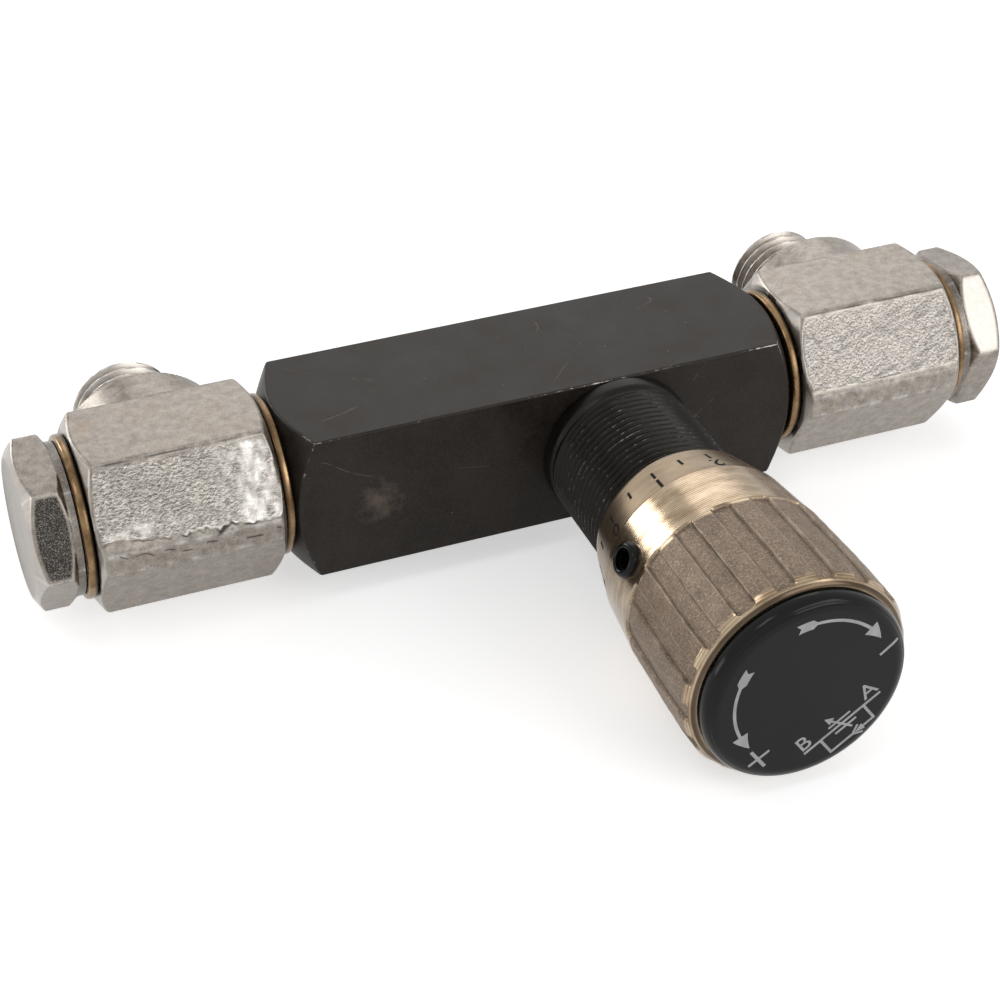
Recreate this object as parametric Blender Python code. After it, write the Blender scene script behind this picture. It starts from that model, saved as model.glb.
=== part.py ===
# In-line hydraulic throttle valve with check, two banjo fittings and a graduated knob.
# Frame: metres, +Z up. Origin at the middle of the body's underside, flow axis along X at half the
# body's height, knob axis along -Y, stems of the fittings towards +Y.

import math

import bmesh
import bpy
from mathutils import Matrix

MM = 0.001

# Clearance kept between neighbouring pieces.
GAP = 0.3 * MM
SWIVEL_GAP = 0.4 * MM

# Points closer than this are one point, and a cutter reaches this far past what it cuts.
WELD = 0.001 * MM
OVERCUT = 1.0 * MM

# Segments of round pieces, by size.
FINE = 36
MEDIUM = 26
COARSE = 18
SMALL = 10

# Turns a lathe so that the corners of a hexagon meet it in the middle of a facet.
HALF_FACET = (0, 0, math.pi / FINE)

# Valve body: a square bar with turned ends.
BODY_SIDE = 20.0 * MM
BODY_LENGTH = 67.8 * MM
BODY_END_RADIUS = 9.3 * MM
TURNED_ANGLE = math.radians(30.0)
AXIS_HEIGHT = BODY_SIDE / 2
PORT_DEPTH = 13.3 * MM
PORT_CHAMFER = 0.6 * MM
CHANNEL_RADIUS = 2.2 * MM

# Cartridge: stations are distances from the flow axis towards the knob.
CARTRIDGE_X = 8.7 * MM
OUTLET_CHAMBER_RADIUS = 4.6 * MM
OUTLET_CHAMBER_END = -6.9 * MM
OUTLET_CHANNEL_STATION = -4.3 * MM
SEAT_RADIUS = 3.1 * MM
SEAT_START = -3.0 * MM
SEAT_END = -1.6 * MM
INLET_CHAMBER_RADIUS = 6.6 * MM
INLET_CHAMBER_END = 3.0 * MM
INLET_CHANNEL_STATION = 0.7 * MM

# Neck bush.
SPIGOT_RADIUS = 7.9 * MM
NECK_ROOT_RADIUS = 10.0 * MM
NECK_ROOT_LENGTH = 2.0 * MM
NECK_RADIUS = 9.85 * MM
NECK_END = 45.2 * MM
NECK_CHAMFER = 0.7 * MM
SPRING_POCKET_DEPTH = 4.7 * MM
GUIDE_LENGTH = 4.0 * MM
SEAL_BORE_END = 28.0 * MM
BUSH_GROOVE_STATION = 5.0 * MM
BUSH_GROOVE_RADIUS = 6.7 * MM

# Seal rings.
RING_WIRE_RADIUS = 0.45 * MM

# Check poppet and its spring.
POPPET_RADIUS = 5.0 * MM
POPPET_TAIL_RADIUS = 3.4 * MM
POPPET_BORE_RADIUS = 2.3 * MM
POPPET_SHOULDER = 2.6 * MM
POPPET_NOSE = -2.3 * MM
POPPET_NOSE_RADIUS = 2.05 * MM
ORIFICE_LENGTH = 1.5 * MM
POPPET_HOLE_RADIUS = 0.9 * MM
POPPET_HOLE_COUNT = 4
POPPET_LIFT = 1.5 * MM
SPRING_WIRE_RADIUS = 0.3 * MM
SPRING_TURNS = 4

# Throttle needle.
NEEDLE_RADIUS = 1.25 * MM
NEEDLE_TIP_RADIUS = 0.35 * MM
NEEDLE_TIP = -1.5 * MM
NEEDLE_TAPER = 3.0 * MM
NEEDLE_HEAD_RADIUS = 2.2 * MM
NEEDLE_HEAD_LENGTH = 1.7 * MM

# Spindle and the travel of the knob, from the pose that is modelled.
TRAVEL_CLOSING = 2.0 * MM
TRAVEL_OPENING = 3.0 * MM
SPINDLE_RADIUS = 4.0 * MM
SPINDLE_LIP = 1.0 * MM
SPINDLE_COLLAR_RADIUS = 4.9 * MM
SPINDLE_GROOVE_RADIUS = 2.9 * MM
SPINDLE_GROOVE_OFFSET = 4.7 * MM
BACKUP_RING_LENGTH = 1.0 * MM
STOP_RING_LENGTH = 0.8 * MM
STOP_RING_INSET = 1.2 * MM
STOP_RING_SEAT = 0.65 * MM
STOP_RING_OPENING = 3.6 * MM
TENON_SIDE = 5.5 * MM

# Knob: lengths of its outer profile from the front back to the collar's rim, then what each length gains or
# loses in radius, from the rim's wall round the neck to the front.
KNOB_RECESS_DEPTH = 6.0 * MM
GRIP_ROUNDING = 1.3 * MM
GRIP_BELLY_INSET = 2.4 * MM
GRIP_LENGTH = 15.7 * MM
COLLAR_LENGTH = 8.1 * MM
DIAL_LENGTH = 6.55 * MM
COLLAR_EDGE = 0.5 * MM
COLLAR_RIM_WALL = 0.4 * MM
COLLAR_EDGE_RISE = 0.35 * MM
DIAL_TAPER = 1.55 * MM
COLLAR_TAPER = 0.95 * MM
COLLAR_STEP = 0.1 * MM
GRIP_FLARE = 0.45 * MM
GRIP_CROWN = 0.1 * MM
KNOB_FRONT_DROP = 1.05 * MM
FLUTE_COUNT = 17
FLUTE_SHARE = 0.47
FLUTE_DEPTH = 0.45 * MM
FLUTE_WALL_SHARE = 0.04
FLUTE_PHASE = math.radians(121.5)
FLUTE_RUNOUT = 0.35 * MM
KNOB_WEB = 6.3 * MM
KNOB_FRONT_WALL = 1.9 * MM

# Lock screw in the collar.
LOCK_SCREW_RADIUS = 2.15 * MM
LOCK_SCREW_INSET = 3.6 * MM
LOCK_SCREW_ANGLE = math.radians(155.0)
LOCK_SCREW_PROUD = 1.01 * MM
LOCK_SCREW_SOCKET = 2.5 * MM
LOCK_SCREW_SOCKET_DEPTH = 1.8 * MM
LOCK_SCREW_EDGE = 0.35 * MM
SOCKET_TURN = math.radians(10.0)

# Knob screw, washer and cap.
WASHER_RADIUS = 5.0 * MM
WASHER_LENGTH = 1.0 * MM
WASHER_EDGE = 0.15 * MM
KNOB_SCREW_RADIUS = 1.7 * MM
KNOB_SCREW_LENGTH = 7.5 * MM
KNOB_SCREW_HEAD_RADIUS = 3.6 * MM
KNOB_SCREW_HEAD_LENGTH = 2.0 * MM
KNOB_SCREW_HEAD_EDGE = 0.6 * MM
KNOB_SCREW_SOCKET_DEPTH = 1.2 * MM
CAP_INSET = 0.3 * MM
CAP_LENGTH = 1.95 * MM
CAP_ROUNDING = 1.5 * MM
CAP_PLUG_LENGTH = 2.4 * MM
CAP_PLUG_WALL = 1.3 * MM
CAP_PLUG_LIP = 0.3 * MM

# Fittings: stations are distances from the body's middle along the flow axis.
SEAL_LENGTH = 1.0 * MM
SEAL_RADIUS = 10.3 * MM
SEAL_SPLIT_RADIUS = 8.2 * MM
SEAL_LIP_TAPER = 0.24 * MM
BANJO_LENGTH = 22.9 * MM
BANJO_ACROSS_FLATS = 22.0 * MM
BANJO_FACE_RADIUS = 10.8 * MM
BANJO_FLASH_DISTANCE = 11.9 * MM
STEM_OFFSET = 0.5 * MM
BOSS_INSET = 0.03 * MM
BOSS_LENGTH = 11.6 * MM
STEM_NECK_RADIUS = 7.4 * MM
STEM_NECK_END = 13.75 * MM
STEM_RADIUS = 6.85 * MM
STEM_END = 22.1 * MM
STEM_CHAMFER = 0.8 * MM
STEM_BORE_RADIUS = 2.75 * MM
SOCKET_RADIUS = 4.05 * MM
SOCKET_DEPTH = 7.0 * MM
CONE_RADIUS = 5.0 * MM
CONE_ANGLE = math.radians(12.0)
BOLT_RADIUS = 6.45 * MM
BOLT_WAIST_RADIUS = 5.2 * MM
BOLT_WAIST_LAND = 3.0 * MM
BOLT_BORE_RADIUS = 2.75 * MM
BOLT_HOLE_RADIUS = 1.5 * MM
BOLT_END_CLEARANCE = 1.2 * MM
BOLT_LEAD = 0.8 * MM
BOLT_FLANGE_RADIUS = 9.5 * MM
BOLT_FLANGE_LENGTH = 0.6 * MM
BOLT_ACROSS_FLATS = 19.0 * MM
BOLT_HEAD_LENGTH = 5.3 * MM
BOLT_FACE_RADIUS = 8.9 * MM
SEAT_LAP = 0.02 * MM
BOLT_TURN = {"left": math.radians(7.2), "right": math.radians(50.4)}

# Places that follow from the sizes above.
FRONT_FACE = BODY_SIDE / 2
PORT_RADIUS = BOLT_RADIUS + GAP
SPIGOT_BORE_RADIUS = SPIGOT_RADIUS + GAP
SPIGOT_END = INLET_CHAMBER_END + GAP
SPRING_POCKET_END = SPIGOT_END + SPRING_POCKET_DEPTH
GUIDE_END = SPRING_POCKET_END + GUIDE_LENGTH
GUIDE_RADIUS = POPPET_TAIL_RADIUS + GAP
POPPET_TAIL_END = GUIDE_END - POPPET_LIFT - GAP
SPRING_POCKET_RADIUS = POPPET_RADIUS + SWIVEL_GAP
SEAL_BORE_RADIUS = SPINDLE_RADIUS + GAP
COLLAR_BORE_RADIUS = SPINDLE_COLLAR_RADIUS + GAP
SPINDLE_NOSE = GUIDE_END + GAP + TRAVEL_CLOSING
NEEDLE_HEAD_START = SPINDLE_NOSE + SPINDLE_LIP + GAP
SPINDLE_CAVITY_END = NEEDLE_HEAD_START + NEEDLE_HEAD_LENGTH + GAP
SPINDLE_COLLAR_START = SEAL_BORE_END + GAP + TRAVEL_CLOSING
STOP_RING_START = NECK_END - STOP_RING_INSET - STOP_RING_LENGTH
SPINDLE_COLLAR_END = STOP_RING_START - GAP - TRAVEL_OPENING
KNOB_BORE_RADIUS = NECK_RADIUS + GAP
KNOB_WEB_START = NECK_END + TRAVEL_CLOSING + 1.5 * GAP
KNOB_WEB_END = KNOB_WEB_START + KNOB_WEB
KNOB_FRONT = KNOB_WEB_END + KNOB_RECESS_DEPTH
GRIP_END = KNOB_FRONT - GRIP_ROUNDING
GRIP_BELLY = GRIP_END - GRIP_BELLY_INSET
GRIP_START = GRIP_END - GRIP_LENGTH
DIAL_END = GRIP_START - COLLAR_LENGTH
COLLAR_RIM = DIAL_END - DIAL_LENGTH
COLLAR_RIM_RADIUS = KNOB_BORE_RADIUS + COLLAR_RIM_WALL
COLLAR_EDGE_RADIUS = COLLAR_RIM_RADIUS + COLLAR_EDGE_RISE
DIAL_END_RADIUS = COLLAR_EDGE_RADIUS + DIAL_TAPER
COLLAR_END_RADIUS = DIAL_END_RADIUS + COLLAR_TAPER
GRIP_START_RADIUS = COLLAR_END_RADIUS + COLLAR_STEP
GRIP_END_RADIUS = GRIP_START_RADIUS + GRIP_FLARE
GRIP_BELLY_RADIUS = GRIP_END_RADIUS + GRIP_CROWN
KNOB_FRONT_RADIUS = GRIP_END_RADIUS - KNOB_FRONT_DROP
KNOB_RECESS_RADIUS = KNOB_FRONT_RADIUS - KNOB_FRONT_WALL
CAP_RADIUS = KNOB_FRONT_RADIUS - CAP_INSET
LOCK_SCREW_STATION = GRIP_START - LOCK_SCREW_INSET
SPINDLE_SHOULDER = KNOB_WEB_START - GAP
TENON_END = KNOB_WEB_END - GAP
INNER_SEAL = BODY_LENGTH / 2 + GAP
BANJO_START = INNER_SEAL + SEAL_LENGTH + GAP
BANJO_END = BANJO_START + BANJO_LENGTH
OUTER_SEAL = BANJO_END + GAP
BOLT_HEAD = OUTER_SEAL + SEAL_LENGTH + GAP
BANJO_MIDDLE = (BANJO_START + BANJO_END) / 2
STEM_STATION = BANJO_MIDDLE + STEM_OFFSET
BANJO_BORE_RADIUS = BOLT_RADIUS + SWIVEL_GAP
BOLT_TIP = BODY_LENGTH / 2 - PORT_DEPTH + BOLT_END_CLEARANCE
BOSS_RADIUS = BANJO_LENGTH / 2 - STEM_OFFSET - BOSS_INSET


def clear_scene():
    for thing in list(bpy.data.objects):
        bpy.data.objects.remove(thing)


def make_material(name, color, roughness, metallic):
    material = bpy.data.materials.new(name)
    material.use_nodes = True
    shader = material.node_tree.nodes["Principled BSDF"]
    shader.inputs["Base Color"].default_value = (*color, 1.0)
    shader.inputs["Roughness"].default_value = roughness
    shader.inputs["Metallic"].default_value = metallic
    material.diffuse_color = (*color, 1.0)
    return material


def make_frame(name, location, rotation, parent=None):
    frame = bpy.data.objects.new(name, None)
    frame.location = location
    frame.rotation_euler = rotation
    frame.parent = parent
    bpy.context.collection.objects.link(frame)
    return frame


def add_object(name, data, frame, material=None, location=(0, 0, 0), rotation=(0, 0, 0)):
    thing = bpy.data.objects.new(name, data)
    thing.parent = frame
    thing.location = location
    thing.rotation_euler = rotation
    bpy.context.collection.objects.link(thing)
    if material:
        data.materials.append(material)
    return thing


def finish_mesh(shape, name):
    bmesh.ops.recalc_face_normals(shape, faces=shape.faces)
    mesh = bpy.data.meshes.new(name)
    shape.to_mesh(mesh)
    shape.free()
    mesh.shade_smooth()
    mesh.set_sharp_from_angle(angle=math.radians(30.0))
    return mesh


# A profile is a list of (radius, station). An open one starts and ends on the axis.
def turned(name, profile, segments, ring=False):
    shape = bmesh.new()
    points = [shape.verts.new((radius, 0, station)) for radius, station in profile]
    lines = [shape.edges.new(pair) for pair in zip(points, points[1:])]
    if ring:
        lines.append(shape.edges.new((points[-1], points[0])))
    bmesh.ops.spin(shape, geom=points + lines, cent=(0, 0, 0), axis=(0, 0, 1),
                   angle=math.tau, steps=segments, use_merge=True)
    bmesh.ops.remove_doubles(shape, verts=shape.verts, dist=WELD)
    centers = [point for point in shape.verts if is_flat_center(point)]
    bmesh.ops.dissolve_verts(shape, verts=centers)
    return finish_mesh(shape, name)


# The middle point of a flat end, which is not needed.
def is_flat_center(point):
    on_axis = math.hypot(point.co.x, point.co.y) < WELD
    rim = [line.other_vert(point).co.z for line in point.link_edges]
    return on_axis and max(rim) - min(rim) < WELD and abs(rim[0] - point.co.z) < WELD


def rod_mesh(name, radius, start, end, segments):
    return turned(name, [(0, end), (radius, end), (radius, start), (0, start)], segments)


def ring_mesh(name, inner, outer, start, end, segments, chamfer=0.0):
    if chamfer:
        profile = [(inner, end), (outer - chamfer, end), (outer, end - chamfer),
                   (outer, start + chamfer), (outer - chamfer, start), (inner, start)]
    else:
        profile = [(inner, end), (outer, end), (outer, start), (inner, start)]
    return turned(name, profile, segments, ring=True)


def torus_mesh(name, radius, wire, station, segments, sides=8):
    angles = [math.tau * step / sides for step in range(sides)]
    profile = [(radius + wire * math.cos(angle), station - wire * math.sin(angle)) for angle in angles]
    return turned(name, profile, segments, ring=True)


# A prism with a given distance across its flats, with one corner at the angle turn.
def prism_mesh(name, across_flats, sides, start, end, turn):
    shape = bmesh.new()
    radius = across_flats / 2 / math.cos(math.pi / sides)
    bmesh.ops.create_circle(shape, cap_ends=True, radius=radius, segments=sides)
    bmesh.ops.rotate(shape, verts=shape.verts, cent=(0, 0, 0),
                     matrix=turn_matrix(turn - corner_angle(shape)))
    bmesh.ops.translate(shape, verts=shape.verts, vec=(0, 0, start))
    raised = bmesh.ops.extrude_face_region(shape, geom=list(shape.faces))
    top = [part for part in raised["geom"] if isinstance(part, bmesh.types.BMVert)]
    bmesh.ops.translate(shape, verts=top, vec=(0, 0, end - start))
    return finish_mesh(shape, name)


def corner_angle(shape):
    shape.verts.ensure_lookup_table()
    return math.atan2(shape.verts[0].co.y, shape.verts[0].co.x)


def turn_matrix(angle):
    return Matrix.Rotation(angle, 3, "Z")


def box_mesh(name, size, center):
    shape = bmesh.new()
    bmesh.ops.create_cube(shape, size=1.0)
    bmesh.ops.scale(shape, verts=shape.verts, vec=size)
    bmesh.ops.translate(shape, verts=shape.verts, vec=center)
    return finish_mesh(shape, name)


def combine(target, tool, operation):
    tool.hide_render = True
    tool.display_type = "WIRE"
    change = target.modifiers.new(operation.capitalize() + " " + tool.name, "BOOLEAN")
    change.operation = operation
    change.object = tool
    change.solver = "EXACT"


def cut(target, tool):
    combine(target, tool, "DIFFERENCE")


# The solid between two turned ends: a flat face circle and a chamfer at the turned angle.
def turned_ends_profile(face_radius, start, end, reach):
    depth = reach * math.tan(TURNED_ANGLE)
    return [(0, end), (face_radius, end), (face_radius + reach, end - depth),
            (face_radius + reach, start + depth), (face_radius, start), (0, start)]


def make_valve_body(frames, steel):
    along = frames["right"]
    half = BODY_LENGTH / 2
    mesh = box_mesh("valve_body", (BODY_SIDE, BODY_SIDE, BODY_LENGTH + 2 * OVERCUT), (0, 0, 0))
    body = add_object("valve_body", mesh, along, steel)
    reach = BODY_SIDE * 0.75 - BODY_END_RADIUS
    lathe = turned_ends_profile(BODY_END_RADIUS, -half, half, reach)
    combine(body, add_object("body_ends", turned("body_ends", lathe, FINE), along), "INTERSECT")

    for side in ("left", "right"):
        bottom = half - PORT_DEPTH
        mouth = PORT_RADIUS + PORT_CHAMFER + OVERCUT
        profile = [(0, half + OVERCUT), (mouth, half + OVERCUT),
                   (PORT_RADIUS, half - PORT_CHAMFER), (PORT_RADIUS, bottom),
                   (0, bottom - PORT_RADIUS * math.tan(TURNED_ANGLE))]
        cut(body, add_object("port_" + side, turned("port_" + side, profile, COARSE), frames[side]))

    cavity = [(0, FRONT_FACE + OVERCUT), (SPIGOT_BORE_RADIUS, FRONT_FACE + OVERCUT),
              (SPIGOT_BORE_RADIUS, INLET_CHAMBER_END), (INLET_CHAMBER_RADIUS, INLET_CHAMBER_END),
              (INLET_CHAMBER_RADIUS, SEAT_END), (SEAT_RADIUS, SEAT_END), (SEAT_RADIUS, SEAT_START),
              (OUTLET_CHAMBER_RADIUS, SEAT_START), (OUTLET_CHAMBER_RADIUS, OUTLET_CHAMBER_END),
              (0, OUTLET_CHAMBER_END)]
    cut(body, add_object("cavity", turned("cavity", cavity, MEDIUM), frames["cartridge"]))

    # Two straight channels, one from each port to its own side of the seat.
    reach = half - PORT_DEPTH
    channels = {"left": (INLET_CHANNEL_STATION, -CARTRIDGE_X), "right": (OUTLET_CHANNEL_STATION, CARTRIDGE_X)}
    for side, (station, start) in channels.items():
        mesh = rod_mesh("channel_" + side, CHANNEL_RADIUS, start, reach, COARSE)
        cut(body, add_object("channel_" + side, mesh, frames[side], location=(0, -station, 0)))


def make_neck_bush(frame, steel):
    root_end = FRONT_FACE + GAP + NECK_ROOT_LENGTH
    groove_half = RING_WIRE_RADIUS + GAP
    groove_low = BUSH_GROOVE_STATION - groove_half
    groove_high = BUSH_GROOVE_STATION + groove_half
    seat_outer = COLLAR_BORE_RADIUS + STOP_RING_SEAT
    ring_low = STOP_RING_START - GAP
    ring_high = STOP_RING_START + STOP_RING_LENGTH + GAP
    outside = [(NECK_RADIUS - NECK_CHAMFER, NECK_END), (NECK_RADIUS, NECK_END - NECK_CHAMFER),
               (NECK_RADIUS, root_end), (NECK_ROOT_RADIUS, root_end),
               (NECK_ROOT_RADIUS, FRONT_FACE + GAP), (SPIGOT_RADIUS, FRONT_FACE + GAP),
               (SPIGOT_RADIUS, groove_high), (BUSH_GROOVE_RADIUS, groove_high),
               (BUSH_GROOVE_RADIUS, groove_low), (SPIGOT_RADIUS, groove_low), (SPIGOT_RADIUS, SPIGOT_END)]
    inside = [(SPRING_POCKET_RADIUS, SPIGOT_END), (SPRING_POCKET_RADIUS, SPRING_POCKET_END),
              (GUIDE_RADIUS, SPRING_POCKET_END), (GUIDE_RADIUS, GUIDE_END),
              (SEAL_BORE_RADIUS, GUIDE_END), (SEAL_BORE_RADIUS, SEAL_BORE_END),
              (COLLAR_BORE_RADIUS, SEAL_BORE_END), (COLLAR_BORE_RADIUS, ring_low),
              (seat_outer, ring_low), (seat_outer, ring_high),
              (COLLAR_BORE_RADIUS, ring_high), (COLLAR_BORE_RADIUS, NECK_END)]
    add_object("neck_bush", turned("neck_bush", outside + inside, MEDIUM, ring=True), frame, steel)


def make_bush_o_ring(frame, rubber):
    middle = (BUSH_GROOVE_RADIUS + SPIGOT_BORE_RADIUS) / 2
    mesh = torus_mesh("bush_o_ring", middle, RING_WIRE_RADIUS, BUSH_GROOVE_STATION, COARSE)
    add_object("bush_o_ring", mesh, frame, rubber)


def make_check_poppet(frame, steel):
    orifice = NEEDLE_RADIUS + GAP
    cone_start = POPPET_NOSE + POPPET_RADIUS - POPPET_NOSE_RADIUS
    bore_start = POPPET_NOSE + ORIFICE_LENGTH
    profile = [(POPPET_BORE_RADIUS, POPPET_TAIL_END), (POPPET_TAIL_RADIUS, POPPET_TAIL_END),
               (POPPET_TAIL_RADIUS, POPPET_SHOULDER), (POPPET_RADIUS, POPPET_SHOULDER),
               (POPPET_RADIUS, cone_start), (POPPET_NOSE_RADIUS, POPPET_NOSE), (orifice, POPPET_NOSE),
               (orifice, bore_start), (POPPET_BORE_RADIUS, bore_start)]
    poppet = add_object("check_poppet", turned("check_poppet", profile, COARSE, ring=True), frame, steel)
    station = (cone_start + POPPET_SHOULDER) / 2
    for index in range(POPPET_HOLE_COUNT):
        name = "poppet_hole_%d" % (index + 1)
        mesh = rod_mesh(name, POPPET_HOLE_RADIUS, POPPET_BORE_RADIUS / 2, POPPET_RADIUS + OVERCUT, SMALL)
        turn = math.tau * (index + 0.5) / POPPET_HOLE_COUNT
        cut(poppet, add_object(name, mesh, frame, location=(0, 0, station),
                               rotation=(0, math.pi / 2, turn)))


# A coil of even pitch between the poppet's shoulder and the bottom of the bush's pocket.
def make_check_spring(frame, steel):
    low = POPPET_SHOULDER + GAP + SPRING_WIRE_RADIUS
    high = SPRING_POCKET_END - GAP - SPRING_WIRE_RADIUS
    radius = POPPET_TAIL_RADIUS + 2 * GAP + SPRING_WIRE_RADIUS
    total = SPRING_TURNS * SMALL
    curve = bpy.data.curves.new("check_spring", "CURVE")
    curve.dimensions = "3D"
    curve.bevel_depth = SPRING_WIRE_RADIUS
    curve.bevel_resolution = 1
    curve.use_fill_caps = True
    curve.materials.append(steel)
    spline = curve.splines.new("POLY")
    spline.points.add(total)
    for index in range(total + 1):
        angle = math.tau * index / SMALL
        station = low + (high - low) * index / total
        spline.points[index].co = (radius * math.cos(angle), radius * math.sin(angle), station, 1)
    add_object("check_spring", curve, frame)


def make_throttle_needle(frame, steel):
    head_end = NEEDLE_HEAD_START + NEEDLE_HEAD_LENGTH
    profile = [(0, head_end), (NEEDLE_HEAD_RADIUS, head_end), (NEEDLE_HEAD_RADIUS, NEEDLE_HEAD_START),
               (NEEDLE_RADIUS, NEEDLE_HEAD_START), (NEEDLE_RADIUS, NEEDLE_TIP + NEEDLE_TAPER),
               (NEEDLE_TIP_RADIUS, NEEDLE_TIP), (0, NEEDLE_TIP)]
    add_object("throttle_needle", turned("throttle_needle", profile, COARSE), frame, steel)


def make_spindle(frame, steel):
    groove_low = SPINDLE_NOSE + SPINDLE_GROOVE_OFFSET
    groove_high = groove_low + 2 * RING_WIRE_RADIUS + BACKUP_RING_LENGTH + 3 * GAP
    lip_radius = NEEDLE_RADIUS + GAP
    cavity_radius = NEEDLE_HEAD_RADIUS + GAP
    tap_radius = KNOB_SCREW_RADIUS + GAP
    tap_end = KNOB_WEB_END - KNOB_SCREW_LENGTH
    profile = [(0, tap_end), (tap_radius, tap_end), (tap_radius, SPINDLE_SHOULDER),
               (SPINDLE_RADIUS, SPINDLE_SHOULDER), (SPINDLE_RADIUS, SPINDLE_COLLAR_END),
               (SPINDLE_COLLAR_RADIUS, SPINDLE_COLLAR_END), (SPINDLE_COLLAR_RADIUS, SPINDLE_COLLAR_START),
               (SPINDLE_RADIUS, SPINDLE_COLLAR_START), (SPINDLE_RADIUS, groove_high),
               (SPINDLE_GROOVE_RADIUS, groove_high), (SPINDLE_GROOVE_RADIUS, groove_low),
               (SPINDLE_RADIUS, groove_low), (SPINDLE_RADIUS, SPINDLE_NOSE), (lip_radius, SPINDLE_NOSE),
               (lip_radius, SPINDLE_NOSE + SPINDLE_LIP), (cavity_radius, SPINDLE_NOSE + SPINDLE_LIP),
               (cavity_radius, SPINDLE_CAVITY_END), (0, SPINDLE_CAVITY_END)]
    spindle = add_object("spindle", turned("spindle", profile, COARSE), frame, steel)
    start = SPINDLE_SHOULDER - OVERCUT
    mesh = prism_mesh("tenon", TENON_SIDE, 4, start, TENON_END, math.pi / 4)
    combine(spindle, add_object("tenon", mesh, frame), "UNION")
    mesh = rod_mesh("tapping", tap_radius, tap_end, TENON_END + OVERCUT, COARSE)
    cut(spindle, add_object("tapping", mesh, frame))


def make_spindle_seals(frame, rubber, plastic):
    low = SPINDLE_NOSE + SPINDLE_GROOVE_OFFSET
    middle = (SPINDLE_GROOVE_RADIUS + SEAL_BORE_RADIUS) / 2
    station = low + GAP + RING_WIRE_RADIUS
    add_object("spindle_o_ring", torus_mesh("spindle_o_ring", middle, RING_WIRE_RADIUS, station, COARSE),
               frame, rubber)
    start = station + RING_WIRE_RADIUS + GAP
    mesh = ring_mesh("spindle_backup_ring", SPINDLE_GROOVE_RADIUS + GAP, SEAL_BORE_RADIUS - GAP, start,
                     start + BACKUP_RING_LENGTH, COARSE)
    add_object("spindle_backup_ring", mesh, frame, plastic)


def make_stop_ring(frame, steel):
    outer = COLLAR_BORE_RADIUS + STOP_RING_SEAT - GAP
    end = STOP_RING_START + STOP_RING_LENGTH
    mesh = ring_mesh("spindle_stop_ring", SPINDLE_RADIUS + GAP, outer, STOP_RING_START, end, MEDIUM)
    ring = add_object("spindle_stop_ring", mesh, frame, steel)
    mesh = box_mesh("stop_ring_gap", (2 * outer, STOP_RING_OPENING, 4 * STOP_RING_LENGTH),
                    (-outer, 0, end))
    cut(ring, add_object("stop_ring_gap", mesh, frame))


# The outer radius of the knob at a station, without the flutes.
def knob_radius(station):
    stations = [COLLAR_RIM, COLLAR_RIM + COLLAR_EDGE, DIAL_END, GRIP_START, GRIP_START + COLLAR_EDGE]
    radii = [COLLAR_RIM_RADIUS, COLLAR_EDGE_RADIUS, DIAL_END_RADIUS, COLLAR_END_RADIUS, GRIP_START_RADIUS]
    stations += [GRIP_BELLY, GRIP_END]
    radii += [GRIP_BELLY_RADIUS, GRIP_END_RADIUS]
    for index in range(len(stations) - 1):
        if station <= stations[index + 1]:
            share = (station - stations[index]) / (stations[index + 1] - stations[index])
            return radii[index] + share * (radii[index + 1] - radii[index])
    return radii[-1]


# Angles and flute depths (0 to 1) of one ring of points: three on each rib, two on each flute floor.
def flute_ring():
    pitch = math.tau / FLUTE_COUNT
    half_flute = FLUTE_SHARE / 2
    half_floor = half_flute - FLUTE_WALL_SHARE
    steps = [(-half_flute, 0), (-half_floor, 1), (half_floor, 1), (half_flute, 0), (0.5, 0)]
    return [(FLUTE_PHASE + (flute + share) * pitch, depth)
            for flute in range(FLUTE_COUNT) for share, depth in steps]


# Rings of (station, radius, depth of the flutes) that are joined one to the next.
def knob_rings():
    flute_start = GRIP_START
    flute_end = GRIP_END + FLUTE_DEPTH
    rounding = KNOB_FRONT - GRIP_END
    rings = [(COLLAR_RIM, KNOB_BORE_RADIUS, 0), (COLLAR_RIM, COLLAR_RIM_RADIUS, 0)]
    for station in (COLLAR_RIM + COLLAR_EDGE, DIAL_END, flute_start):
        rings.append((station, knob_radius(station), 0))
    start = flute_start + FLUTE_RUNOUT
    steps = 2
    for index in range(steps + 1):
        station = start + (GRIP_BELLY - start) * index / steps
        rings.append((station, knob_radius(station), FLUTE_DEPTH))
    rings.append((GRIP_END, GRIP_END_RADIUS, FLUTE_DEPTH))
    drop = GRIP_END_RADIUS - KNOB_FRONT_RADIUS
    for angle in (math.radians(30), math.radians(60), math.radians(90)):
        station = GRIP_END + rounding * math.sin(angle)
        radius = GRIP_END_RADIUS - drop * (1 - math.cos(angle))
        left = max(FLUTE_DEPTH - (GRIP_END_RADIUS - radius), 0) if station < flute_end else 0
        rings.append((station, radius, left))
    rings += [(KNOB_FRONT, KNOB_RECESS_RADIUS, 0), (KNOB_WEB_END, KNOB_RECESS_RADIUS, 0)]
    return rings


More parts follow.
